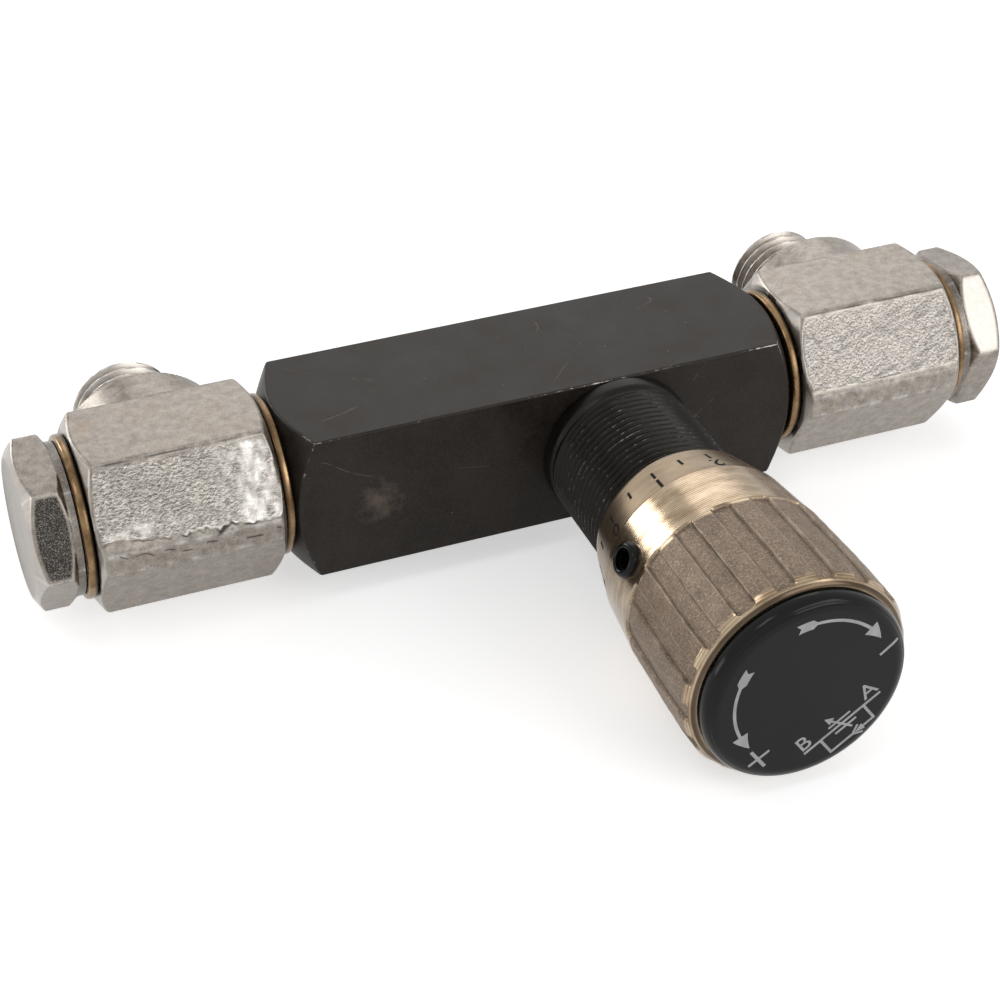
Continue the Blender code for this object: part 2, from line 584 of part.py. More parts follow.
# One skin from the floor of the bore, over the outside, to the floor of the front recess. The web between
# the two floors is what the spindle's tenon passes through.
def make_adjusting_knob(frame, bronze):
    shape = bmesh.new()
    loops = []
    for station, radius, depth in [(KNOB_WEB_START, KNOB_BORE_RADIUS, 0)] + knob_rings():
        loop = []
        for angle, share in flute_ring():
            reach = radius - depth * share
            loop.append(shape.verts.new((reach * math.cos(angle), reach * math.sin(angle), station)))
        loops.append(loop)
    for first, second in zip(loops, loops[1:]):
        for index in range(len(first)):
            shape.faces.new((first[index - 1], first[index], second[index], second[index - 1]))
    shape.faces.new(loops[0])
    shape.faces.new(loops[-1])
    knob = add_object("adjusting_knob", finish_mesh(shape, "adjusting_knob"), frame, bronze)

    hole = prism_mesh("tenon_hole", TENON_SIDE + 2 * GAP, 4, KNOB_WEB_START - OVERCUT,
                      KNOB_WEB_END + OVERCUT, math.pi / 4)
    cut(knob, add_object("tenon_hole", hole, frame))
    mesh = rod_mesh("lock_hole", LOCK_SCREW_RADIUS + GAP, KNOB_BORE_RADIUS / 2,
                    knob_radius(LOCK_SCREW_STATION) + OVERCUT, COARSE)
    cut(knob, add_object("lock_hole", mesh, frame, location=(0, 0, LOCK_SCREW_STATION),
                         rotation=(0, math.pi / 2, LOCK_SCREW_ANGLE)))


def make_lock_screw(frame, steel):
    start = NECK_RADIUS + GAP
    edge = LOCK_SCREW_EDGE
    tip = LOCK_SCREW_RADIUS - 2 * edge
    outer = knob_radius(LOCK_SCREW_STATION) + LOCK_SCREW_PROUD
    profile = [(0, outer), (LOCK_SCREW_RADIUS - edge, outer),
               (LOCK_SCREW_RADIUS, outer - edge), (LOCK_SCREW_RADIUS, start + 2 * edge),
               (tip, start), (0, start)]
    place = make_frame("lock_screw_axis", (0, 0, LOCK_SCREW_STATION), (0, math.pi / 2, LOCK_SCREW_ANGLE), frame)
    screw = add_object("knob_lock_screw", turned("knob_lock_screw", profile, COARSE), place, steel)
    socket = prism_mesh("lock_socket", LOCK_SCREW_SOCKET, 6, outer - LOCK_SCREW_SOCKET_DEPTH,
                        outer + OVERCUT, SOCKET_TURN)
    cut(screw, add_object("lock_socket", socket, place))


def make_knob_washer(frame, steel):
    start = KNOB_WEB_END + GAP
    mesh = ring_mesh("knob_washer", KNOB_SCREW_RADIUS + GAP, WASHER_RADIUS, start, start + WASHER_LENGTH,
                     MEDIUM, WASHER_EDGE)
    add_object("knob_washer", mesh, frame, steel)


def make_knob_screw(frame, steel):
    seat = KNOB_WEB_END + WASHER_LENGTH + 2 * GAP
    top = seat + KNOB_SCREW_HEAD_LENGTH
    edge = KNOB_SCREW_HEAD_EDGE
    tip = KNOB_WEB_END - KNOB_SCREW_LENGTH + GAP
    profile = [(0, top), (KNOB_SCREW_HEAD_RADIUS - edge, top), (KNOB_SCREW_HEAD_RADIUS, top - edge),
               (KNOB_SCREW_HEAD_RADIUS, seat), (KNOB_SCREW_RADIUS, seat), (KNOB_SCREW_RADIUS, tip), (0, tip)]
    screw = add_object("knob_screw", turned("knob_screw", profile, COARSE), frame, steel)
    socket = prism_mesh("knob_socket", LOCK_SCREW_SOCKET, 6, top - KNOB_SCREW_SOCKET_DEPTH, top + OVERCUT,
                        SOCKET_TURN)
    cut(screw, add_object("knob_socket", socket, frame))


def make_knob_cap(frame, plastic):
    back = KNOB_FRONT + GAP
    front = back + CAP_LENGTH
    plug = KNOB_RECESS_RADIUS - GAP
    inner = plug - CAP_PLUG_WALL
    profile = [(0, front)]
    steps = 4
    for index in range(steps + 1):
        angle = math.pi / 2 * index / steps
        profile.append((CAP_RADIUS - CAP_ROUNDING * (1 - math.sin(angle)),
                        front - CAP_ROUNDING * (1 - math.cos(angle))))
    profile += [(CAP_RADIUS, back), (plug, back), (plug, back - CAP_PLUG_LENGTH + CAP_PLUG_LIP),
                (plug - CAP_PLUG_LIP, back - CAP_PLUG_LENGTH), (inner, back - CAP_PLUG_LENGTH),
                (inner, back - CAP_PLUG_LIP), (0, back - CAP_PLUG_LIP)]
    add_object("knob_cap", turned("knob_cap", profile, FINE), frame, plastic)


# A bonded seal: a metal ring with a sealing lip inside it.
def make_seals(frames, brass, rubber):
    split = SEAL_SPLIT_RADIUS
    for side in ("left", "right"):
        for place, start in (("inner", INNER_SEAL), ("outer", OUTER_SEAL)):
            name = "seal_ring_%s_%s" % (side, place)
            mesh = ring_mesh(name, split, SEAL_RADIUS, start, start + SEAL_LENGTH, FINE)
            add_object(name, mesh, frames[side], brass)
            name = "seal_lip_%s_%s" % (side, place)
            inner = BOLT_RADIUS + GAP
            outer = split - GAP
            end = start + SEAL_LENGTH
            profile = [(inner, end), (outer, end - SEAL_LIP_TAPER), (outer, start + SEAL_LIP_TAPER),
                       (inner, start)]
            add_object(name, turned(name, profile, COARSE, ring=True), frames[side], rubber)


def make_banjo_bodies(frames, zinc):
    corner = BANJO_ACROSS_FLATS / math.sqrt(3)
    for side in ("left", "right"):
        frame = frames[side]
        name = "banjo_body_" + side
        mesh = prism_mesh(name, BANJO_ACROSS_FLATS, 6, BANJO_START - OVERCUT, BANJO_END + OVERCUT, math.pi / 2)
        banjo = add_object(name, mesh, frame, zinc)
        reach = corner * 1.1 - BANJO_FACE_RADIUS
        lathe = turned_ends_profile(BANJO_FACE_RADIUS, BANJO_START, BANJO_END, reach)
        ends = add_object("banjo_ends_" + side, turned("banjo_ends", lathe, FINE), frame, rotation=HALF_FACET)
        combine(banjo, ends, "INTERSECT")

        # The trimmed flash leaves a narrow flat along the front corner.
        trim = corner - BANJO_FLASH_DISTANCE
        mesh = box_mesh("flash_trim", (4 * trim, 2 * trim, 2 * BANJO_LENGTH),
                        (0, -BANJO_FLASH_DISTANCE - trim, BANJO_MIDDLE))
        cut(banjo, add_object("flash_trim_" + side, mesh, frame))

        stem = make_frame("stem_axis_" + side, (0, 0, STEM_STATION), (-math.pi / 2, 0, 0), frame)
        profile = [(0, STEM_END), (STEM_RADIUS - STEM_CHAMFER, STEM_END), (STEM_RADIUS, STEM_END - STEM_CHAMFER),
                   (STEM_RADIUS, STEM_NECK_END), (STEM_NECK_RADIUS, STEM_NECK_END),
                   (BOSS_RADIUS, BOSS_LENGTH), (BOSS_RADIUS, 0), (0, 0)]
        boss = add_object("stem_" + side, turned("stem", profile, MEDIUM), stem)
        combine(banjo, boss, "UNION")
        mesh = rod_mesh("banjo_bore", BANJO_BORE_RADIUS, BANJO_START - OVERCUT, BANJO_END + OVERCUT, COARSE)
        cut(banjo, add_object("banjo_bore_" + side, mesh, frame))

        # The way through the stem: drilling, tube socket and a 24 degree cone at the mouth.
        cone_start = STEM_END - (CONE_RADIUS - SOCKET_RADIUS) / math.tan(CONE_ANGLE)
        mouth = CONE_RADIUS + OVERCUT * math.tan(CONE_ANGLE)
        profile = [(0, STEM_END + OVERCUT), (mouth, STEM_END + OVERCUT),
                   (SOCKET_RADIUS, cone_start), (SOCKET_RADIUS, STEM_END - SOCKET_DEPTH),
                   (STEM_BORE_RADIUS, STEM_END - SOCKET_DEPTH), (STEM_BORE_RADIUS, BANJO_BORE_RADIUS / 2),
                   (0, BANJO_BORE_RADIUS / 2)]
        cut(banjo, add_object("stem_bore_" + side, turned("stem_bore", profile, COARSE), stem))


def make_banjo_bolts(frames, zinc):
    for side in ("left", "right"):
        frame = frames[side]
        name = "banjo_bolt_" + side
        head_start = BOLT_HEAD + BOLT_FLANGE_LENGTH
        head_end = head_start + BOLT_HEAD_LENGTH
        corner = BOLT_ACROSS_FLATS / math.sqrt(3)
        turn = math.pi / 2 + (BOLT_TURN[side] if side == "right" else -BOLT_TURN[side])
        mesh = prism_mesh(name, BOLT_ACROSS_FLATS, 6, BOLT_HEAD, head_end + OVERCUT, turn)
        bolt = add_object(name, mesh, frame, zinc)
        reach = corner * 1.1 - BOLT_FACE_RADIUS
        lathe = turned_ends_profile(BOLT_FACE_RADIUS, head_start - SEAT_LAP, head_end, reach)
        ends = add_object("bolt_ends_" + side, turned("bolt_ends", lathe, FINE), frame, rotation=HALF_FACET)
        combine(bolt, ends, "INTERSECT")

        # Flange, threaded length with a lead-in, and the waist that the oil flows round.
        waist_low = BANJO_START + BOLT_WAIST_LAND
        waist_high = BANJO_END - BOLT_WAIST_LAND
        lead = BOLT_LEAD
        core = BOLT_FLANGE_RADIUS * 0.9
        profile = [(0, head_start + lead), (core, head_start + lead),
                   (core, head_start), (BOLT_FLANGE_RADIUS, head_start),
                   (BOLT_FLANGE_RADIUS, BOLT_HEAD),
                   (BOLT_RADIUS, BOLT_HEAD), (BOLT_RADIUS, waist_high), (BOLT_WAIST_RADIUS, waist_high),
                   (BOLT_WAIST_RADIUS, waist_low), (BOLT_RADIUS, waist_low),
                   (BOLT_RADIUS, BOLT_TIP + lead), (BOLT_RADIUS - lead, BOLT_TIP), (0, BOLT_TIP)]
        shank = add_object("bolt_shank_" + side, turned("bolt_shank", profile, COARSE), frame)
        combine(bolt, shank, "UNION")
        mesh = rod_mesh("bolt_bore", BOLT_BORE_RADIUS, BOLT_TIP - OVERCUT, BANJO_MIDDLE + 2 * BOLT_HOLE_RADIUS,
                        COARSE)
        cut(bolt, add_object("bolt_bore_" + side, mesh, frame))
        for index in range(2):
            turn = (index + 0.5) * math.pi / 2
            mesh = rod_mesh("bolt_hole", BOLT_HOLE_RADIUS, -BOLT_RADIUS, BOLT_RADIUS, SMALL)
            hole = add_object("bolt_hole_%s_%d" % (side, index + 1), mesh, frame,
                              location=(0, 0, BANJO_MIDDLE), rotation=(math.pi / 2, 0, turn))
            cut(bolt, hole)


def build():
    clear_scene()
    black_steel = make_material("black_steel", (0.030, 0.029, 0.030), 0.45, 0.6)
    bright_steel = make_material("bright_steel", (0.55, 0.55, 0.56), 0.30, 1.0)
    zinc_steel = make_material("zinc_steel", (0.50, 0.48, 0.46), 0.38, 1.0)
    bronze = make_material("bronze", (0.42, 0.31, 0.20), 0.38, 1.0)
    brass = make_material("brass", (0.50, 0.34, 0.14), 0.35, 1.0)
    rubber = make_material("rubber", (0.02, 0.02, 0.02), 0.70, 0.0)
    white_plastic = make_material("white_plastic", (0.75, 0.75, 0.72), 0.50, 0.0)
    black_plastic = make_material("black_plastic", (0.015, 0.015, 0.015), 0.25, 0.0)

    center = (0, 0, AXIS_HEIGHT)
    frames = {
        "left": make_frame("left_port_axis", center, (0, -math.pi / 2, 0)),
        "right": make_frame("right_port_axis", center, (0, math.pi / 2, 0)),
        "cartridge": make_frame("cartridge_axis", (CARTRIDGE_X, 0, AXIS_HEIGHT), (math.pi / 2, 0, 0)),
    }
    cartridge = frames["cartridge"]
    make_valve_body(frames, black_steel)
    make_neck_bush(cartridge, black_steel)
    make_bush_o_ring(cartridge, rubber)
    make_check_poppet(cartridge, bright_steel)
    make_check_spring(cartridge, bright_steel)
    make_throttle_needle(cartridge, bright_steel)
    make_spindle(cartridge, bright_steel)
    make_spindle_seals(cartridge, rubber, white_plastic)
    make_stop_ring(cartridge, black_steel)
    make_adjusting_knob(cartridge, bronze)
    make_lock_screw(cartridge, black_steel)
    make_knob_washer(cartridge, bright_steel)
    make_knob_screw(cartridge, bright_steel)
    make_knob_cap(cartridge, black_plastic)
    make_seals(frames, brass, rubber)
    make_banjo_bodies(frames, zinc_steel)
    make_banjo_bolts(frames, zinc_steel)


build()
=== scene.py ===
# Looks of an in-line hydraulic throttle and check valve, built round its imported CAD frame.
# Metres, +Z up. The flow axis runs along X, the knob's axis along -Y, the fittings' stems point to +Y.

import math
from functools import partial

import bpy
import numpy as np
from mathutils import Matrix, Vector


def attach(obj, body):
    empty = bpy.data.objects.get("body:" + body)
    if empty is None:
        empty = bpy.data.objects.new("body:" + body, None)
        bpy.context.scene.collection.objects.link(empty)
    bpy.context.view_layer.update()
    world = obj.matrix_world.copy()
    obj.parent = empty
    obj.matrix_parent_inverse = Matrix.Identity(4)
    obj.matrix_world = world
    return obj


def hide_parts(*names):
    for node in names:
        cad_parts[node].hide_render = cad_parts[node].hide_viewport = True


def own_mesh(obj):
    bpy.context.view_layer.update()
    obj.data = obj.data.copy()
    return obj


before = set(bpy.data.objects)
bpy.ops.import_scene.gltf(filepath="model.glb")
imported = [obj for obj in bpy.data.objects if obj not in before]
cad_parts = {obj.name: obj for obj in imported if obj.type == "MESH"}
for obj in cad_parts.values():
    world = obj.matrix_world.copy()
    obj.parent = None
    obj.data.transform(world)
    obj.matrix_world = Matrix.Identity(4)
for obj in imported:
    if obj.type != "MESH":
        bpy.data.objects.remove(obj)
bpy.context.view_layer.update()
mm = 0.001
axisHeight = 10.0  # mm, flow axis and knob axis above the underside
knobX = 8.7  # mm, the knob's axis along the bar
slope = math.tan(math.radians(30))  # the turned 30 degree ends of bar, fittings and bolts
print("frame loaded:", len(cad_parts), "nodes")


# Shape helpers, all in millimetres

def smoothMax(first, second, blend):
    # the larger of two fields, with the corner between them rounded over the blend length
    share = np.clip(0.5 + 0.5 * (first - second) / blend, 0, 1)
    return second + (first - second) * share + blend * share * (1 - share)


def smoothMin(first, second, blend):
    # the smaller of two fields, with a fillet of the blend length
    return -smoothMax(-first, -second, blend)


def smoothStep(value):
    # 0 below 0, 1 above 1, and a soft S between
    share = np.clip(value, 0, 1)
    return share * share * (3 - 2 * share)


def bell(distance, width, power=2):
    # 1 at distance 0 and falling off on both sides, more squarely with a higher power
    return np.exp(-(distance / width) ** power)


def wobble(points, size, seed):
    # a soft random field: the mean of nine sine waves of about that wavelength in seeded directions
    rng = np.random.default_rng(seed)
    total = np.zeros(points.shape[:-1])
    for wave in range(9):
        direction = rng.normal(size=3)
        direction *= rng.uniform(0.7, 1.5) * 2 * math.pi / size / np.linalg.norm(direction)
        total += np.sin(points @ direction + rng.uniform(0, 2 * math.pi))
    return total / 3


def edgeMark(fields, width):
    # 1 where the two largest fields are equal, which is an edge of the solid, falling off over the width
    ordered = np.sort(np.stack(fields), axis=0)
    return np.exp(-(ordered[-1] - ordered[-2]) / width)


def hexagonPrism(flatA, flatB, flatC, rounding):
    # the largest of the distances outside three pairs of flats, rounded where two of them meet
    return smoothMax(smoothMax(flatA, flatB, rounding), flatC, rounding)


def solveRadius(field, along, angle, reach):
    # the radius at which the field changes sign on each ray from the axis, found by halving
    along, angle = np.broadcast_arrays(along, angle)
    low, high = np.zeros(along.shape), np.full(along.shape, float(reach))
    for step in range(26):
        middle = (low + high) / 2
        outside = field(along, middle * np.cos(angle), middle * np.sin(angle)) > 0
        high, low = np.where(outside, middle, high), np.where(outside, low, middle)
    return (low + high) / 2


def aroundX(x, radius, angle):
    # circles about the flow axis, angle from +Y toward +Z
    x, radius, angle = np.broadcast_arrays(x, radius, angle)
    return np.stack([x, radius * np.cos(angle), axisHeight + radius * np.sin(angle)], -1)


def aroundKnob(station, radius, angle):
    # circles about the knob's axis, station along -Y, angle from +X toward +Z
    station, radius, angle = np.broadcast_arrays(station, radius, angle)
    return np.stack([knobX + radius * np.cos(angle), -station, axisHeight + radius * np.sin(angle)], -1)


def aroundStem(x, station, radius, angle):
    # circles about a stem's axis, station along +Y
    station, radius, angle = np.broadcast_arrays(station, radius, angle)
    return np.stack([x + radius * np.cos(angle), station, axisHeight + radius * np.sin(angle)], -1)


def turns(count):
    # equal steps round the whole circle, as one row
    return np.linspace(0, 2 * math.pi, count, endpoint=False)[None, :]


def column(*values):
    # the values as one column, to be carried round a row of angles
    return np.array(values, float)[:, None]


def profile(rows, side=1):
    # a profile's (station, radius) pairs as two columns, the stations mirrored for the left side
    return side * column(*[row[0] for row in rows]), column(*[row[1] for row in rows])


def padRows(marks, before, after):
    # every mark gets rows of zeros for the rings before and after it
    return {mark: np.pad(values, ((before, after), (0, 0))) for mark, values in marks.items()}


def sheetOf(points, marks=None, poleStart=False, poleEnd=False, wrapRows=False):
    # one closed surface: a grid whose columns wrap round, and whose first and last rows close at a pole or meet
    return dict(points=points, marks=marks or {}, poleStart=poleStart, poleEnd=poleEnd, wrapRows=wrapRows)


def makeObject(name, points, quads, triangles, marks, material, body, nodes, crease):
    # a mesh object from arrays of points in mm and of quads and triangles
    mesh = bpy.data.meshes.new(name)
    corners = np.concatenate([quads.ravel(), triangles.ravel()]).astype(np.int32)
    starts = np.concatenate([np.arange(len(quads)) * 4, len(quads) * 4 + np.arange(len(triangles)) * 3])
    mesh.vertices.add(len(points))
    mesh.vertices.foreach_set("co", (points * mm).astype(np.float32).ravel())
    mesh.loops.add(len(corners))
    mesh.loops.foreach_set("vertex_index", corners)
    mesh.polygons.add(len(starts))
    mesh.polygons.foreach_set("loop_start", starts.astype(np.int32))
    for mark, values in marks.items():
        mesh.attributes.new(mark, "FLOAT", "POINT").data.foreach_set("value", values.astype(np.float32))
    mesh.update(calc_edges=True)
    mesh.validate()
    mesh.shade_smooth()
    mesh.set_sharp_from_angle(angle=math.radians(crease))
    piece = bpy.data.objects.new(name, mesh)
    bpy.context.scene.collection.objects.link(piece)
    mesh.materials.append(material)
    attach(piece, body)
    if nodes:
        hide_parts(*nodes)
    return piece


def makePiece(name, sheets, material, body, nodes=(), crease=38):
    # joins sheets into one object: grid cells become quads, poles fans, and a sheet that is inside out is turned
    names = sorted({mark for sheet in sheets for mark in sheet["marks"]})
    points, quads, triangles, marks, offset = [], [], [], {mark: [] for mark in names}, 0
    for sheet in sheets:
        grid = sheet["points"]
        rows, columns = grid.shape[:2]
        index = offset + np.arange(rows * columns).reshape(rows, columns)
        flat = [grid.reshape(-1, 3)]
        values = {mark: [np.broadcast_to(sheet["marks"].get(mark, 0.0), (rows, columns)).ravel()]
                  for mark in names}
        fans = []
        count = rows * columns
        for wanted, row in ((sheet["poleStart"], 0), (sheet["poleEnd"], rows - 1)):
            if wanted:
                ring = index[row]
                ahead = np.roll(ring, -1)
                pole = np.full(columns, offset + count)
                fans.append(np.stack([ahead, ring, pole] if row == 0 else [ring, ahead, pole], -1))
                flat.append(grid[row].mean(0)[None])
                for mark in names:
                    values[mark].append([np.mean(values[mark][0].reshape(rows, columns)[row])])
                count += 1
        if sheet["wrapRows"]:
            index = np.vstack([index, index[:1]])
        index = np.hstack([index, index[:, :1]])
        cells = np.stack([index[:-1, :-1], index[:-1, 1:], index[1:, 1:], index[1:, :-1]], -1).reshape(-1, 4)
        flat = np.concatenate(flat)
        fans = np.concatenate(fans) if fans else np.zeros((0, 3), int)
        split = np.concatenate([cells[:, [0, 1, 2]], cells[:, [0, 2, 3]], fans]) - offset
        first, second, third = (flat - flat.mean(0))[split.T]
        if np.einsum("ij,ij->i", first, np.cross(second, third)).sum() < 0:
            cells, fans = cells[:, ::-1], fans[:, ::-1]
        points.append(flat)
        quads.append(cells)
        triangles.append(fans)
        for mark in names:
            marks[mark].append(np.concatenate(values[mark]))
        offset += count
    marks = {mark: np.concatenate(marks[mark]) for mark in names}
    return makeObject(name, np.concatenate(points), np.concatenate(quads), np.concatenate(triangles), marks,
                      material, body, nodes, crease)


# Material helpers

def toLinear(hexColour):
    # an sRGB hex colour as the linear values that Blender's sockets take
    parts = [int(hexColour[place:place + 2], 16) / 255 for place in (1, 3, 5)]
    return tuple(part / 12.92 if part <= 0.04045 else ((part + 0.055) / 1.055) ** 2.4 for part in parts) + (1.0,)


def addNode(tree, kind, settings=None, links=None, out=0):
    # adds a node with its settings (sockets by name or number, or attributes) and its links, and gives one output.
    # Sockets by number: a map range has 1 and 2 for its input's limits and 3 and 4 for its output's, a colour mix
    # has 0 for the share and 6 and 7 for its colours, and a math node has its values in order.
    node = tree.nodes.new("ShaderNode" + kind)
    for key, value in (settings or {}).items():
        if isinstance(key, int) or key in node.inputs:
            node.inputs[key].default_value = value
        else:
            setattr(node, key, value)
    for key, source in (links or {}).items():
        tree.links.new(source, node.inputs[key])
    return node.outputs[out] if node.outputs else None


def perMm(size):
    return 1000.0 / size  # a noise scale whose features are about that many mm wide


def newTree(name, noises, marks=()):
    # a material with its add-node call, object coordinates, and inputs: noises of a size in mm, detail and roughness,
    # then the meshes' marks
    material = bpy.data.materials.new(name)
    material.use_nodes = True
    material.node_tree.nodes.clear()
    node = partial(addNode, material.node_tree)
    place = node("TexCoord", out=3)
    made = [node("TexNoise", {"Scale": perMm(size), "Detail": detail, "Roughness": rough}, {"Vector": place})
            for size, detail, rough in noises]
    made += [node("Attribute", {"attribute_name": mark}, out=2) for mark in marks]
    return material, node, place, made


def finishMaterial(node, sockets, links):
    # puts the shader and the output behind a material's finished sockets
    node("OutputMaterial", None, {"Surface": node("BsdfPrincipled", sockets, links)})


# Black phosphated steel: a thin grown coat on turned or milled steel, matt and slightly uneven, rubbed bright on edges

blackSteelLook = dict(
    dark="#14100d", light="#2b2622", bare="#b3ada6", smudge="#6b5f57", patchSize=6.0, grainSize=0.22, wearSize=0.9,
    wearRange=(0.98, 1.16), scratch=0.16, scratchWidth=0.003, scratches=((0.35, 9.0), (-0.9, 13.0)), roughness=0.44,
    specular=0.24, bump=0.005, smudgeAt=(-23.2, -10.0, 9.6), smudgeReach=5.5)


def makeBlackSteel(name, look):
    material, node, place, (patches, grain, wearNoise, speckNoise, smudgeNoise, edge) = newTree(name, (
        (look["patchSize"], 6.0, 0.62), (look["grainSize"], 3.0, 0.5), (look["wearSize"], 5.0, 0.72), (0.5, 2.0, 0.5),
        (1.6, 6.0, 0.75)), ("edge",))
    wearPlace = node("Math", {"operation": "MULTIPLY_ADD", 1: 0.35}, {0: patches, 2: wearNoise})
    wearSum = node("Math", {"operation": "MULTIPLY_ADD", 1: 0.42}, {0: edge, 2: wearPlace})
    wearLow, wearHigh = look["wearRange"]
    bare = node("MapRange", {1: wearLow, 2: wearHigh}, {0: wearSum})
    # hair scratches are the thin lines where a stretched noise crosses its middle value, broken up by the patches
    breaks = node("MapRange", {1: 0.55, 2: 0.62}, {0: patches})
    for turn, size in look["scratches"]:
        stretched = node("Mapping", {"Scale": (0.3, 1.0, 1.0), "Rotation": (0.0, turn, turn)}, {"Vector": place})
        field = node("TexNoise", {"Scale": perMm(size), "Detail": 0.0}, {"Vector": stretched})
        offMiddle = node("Math", {"operation": "SUBTRACT", 1: 0.52}, {0: field})
        distance = node("Math", {"operation": "ABSOLUTE"}, {0: offMiddle})
        line = node("MapRange", {1: 0.0, 2: look["scratchWidth"], 3: look["scratch"], 4: 0.0}, {0: distance})
        mark = node("Math", {"operation": "MULTIPLY"}, {0: line, 1: breaks})
        bare = node("Math", {"operation": "MAXIMUM"}, {0: bare, 1: mark})
    specks = node("MapRange", {1: 0.74, 2: 0.8, 3: 0.0, 4: 0.5}, {0: speckNoise})
    bare = node("Math", {"operation": "MAXIMUM"}, {0: bare, 1: specks})
    # one pale smudge on the front of the bar
    centre = tuple(value * mm for value in look["smudgeAt"])
    away = node("VectorMath", {"operation": "DISTANCE", 1: centre}, {0: place}, 1)
    near = node("MapRange", {1: 0.0, 2: look["smudgeReach"] * mm, 3: 0.62, 4: 0.0}, {0: away})
    smudgeSum = node("Math", {"operation": "ADD"}, {0: near, 1: smudgeNoise})
    smudge = node("MapRange", {1: 0.78, 2: 1.2, 3: 0.0, 4: 0.75}, {0: smudgeSum})
    mottle = node("Math", {"operation": "MULTIPLY_ADD", 1: 0.8}, {0: grain, 2: patches})
    tint = node("MapRange", {1: 0.7, 2: 1.1}, {0: mottle})
    colour = node("Mix", {"data_type": "RGBA", 6: toLinear(look["dark"]), 7: toLinear(look["light"])}, {0: tint}, 2)
    for share, tone in ((smudge, "smudge"), (bare, "bare")):
        colour = node("Mix", {"data_type": "RGBA", 7: toLinear(look[tone])}, {0: share, 6: colour}, 2)
    metal = node("Math", {"operation": "MULTIPLY", 1: 0.9}, {0: bare})
    low, high = look["roughness"] - 0.06, look["roughness"] + 0.1
    rough = node("MapRange", {1: 0.3, 2: 0.7, 3: low, 4: high}, {0: patches})
    bump = node("Bump", {"Strength": 1.0, "Distance": look["bump"] * mm}, {"Height": grain})
    finishMaterial(node, {"Specular IOR Level": look["specular"], "Specular Tint": (1.0, 0.93, 0.87, 1.0)},
                   {"Base Color": colour, "Metallic": metal, "Roughness": rough, "Normal": bump})
    return material


# Zinc plated forged steel: dull grey plating over forged skin, wrinkled where the die left it, bright where turned,
# with painted light and shade on the wrinkles, painted highlights on the edges and painted shade on some faces

# among these colours are the skin's painted light and shade, the edges' painted highlight and a painted shade for one
# facet and the flange
zincLook = dict(
    light="#a19a91", dark="#756e67", turned="#c3beb8", stain="#85705a", paintedRidgeHighlight="#f0eeea", dull="#45413d",
    crack="#3b3632", skinPaintedLight="#c3beb7", skinPaintedShade="#5a544e", patchSize=1.3, stainSize=8.0, skinSize=0.34,
    skinStretch=1.0, skinContrast=0.13, fineSize=0.2, roughness=0.36, skinBump=0.06, fineBump=0.008)


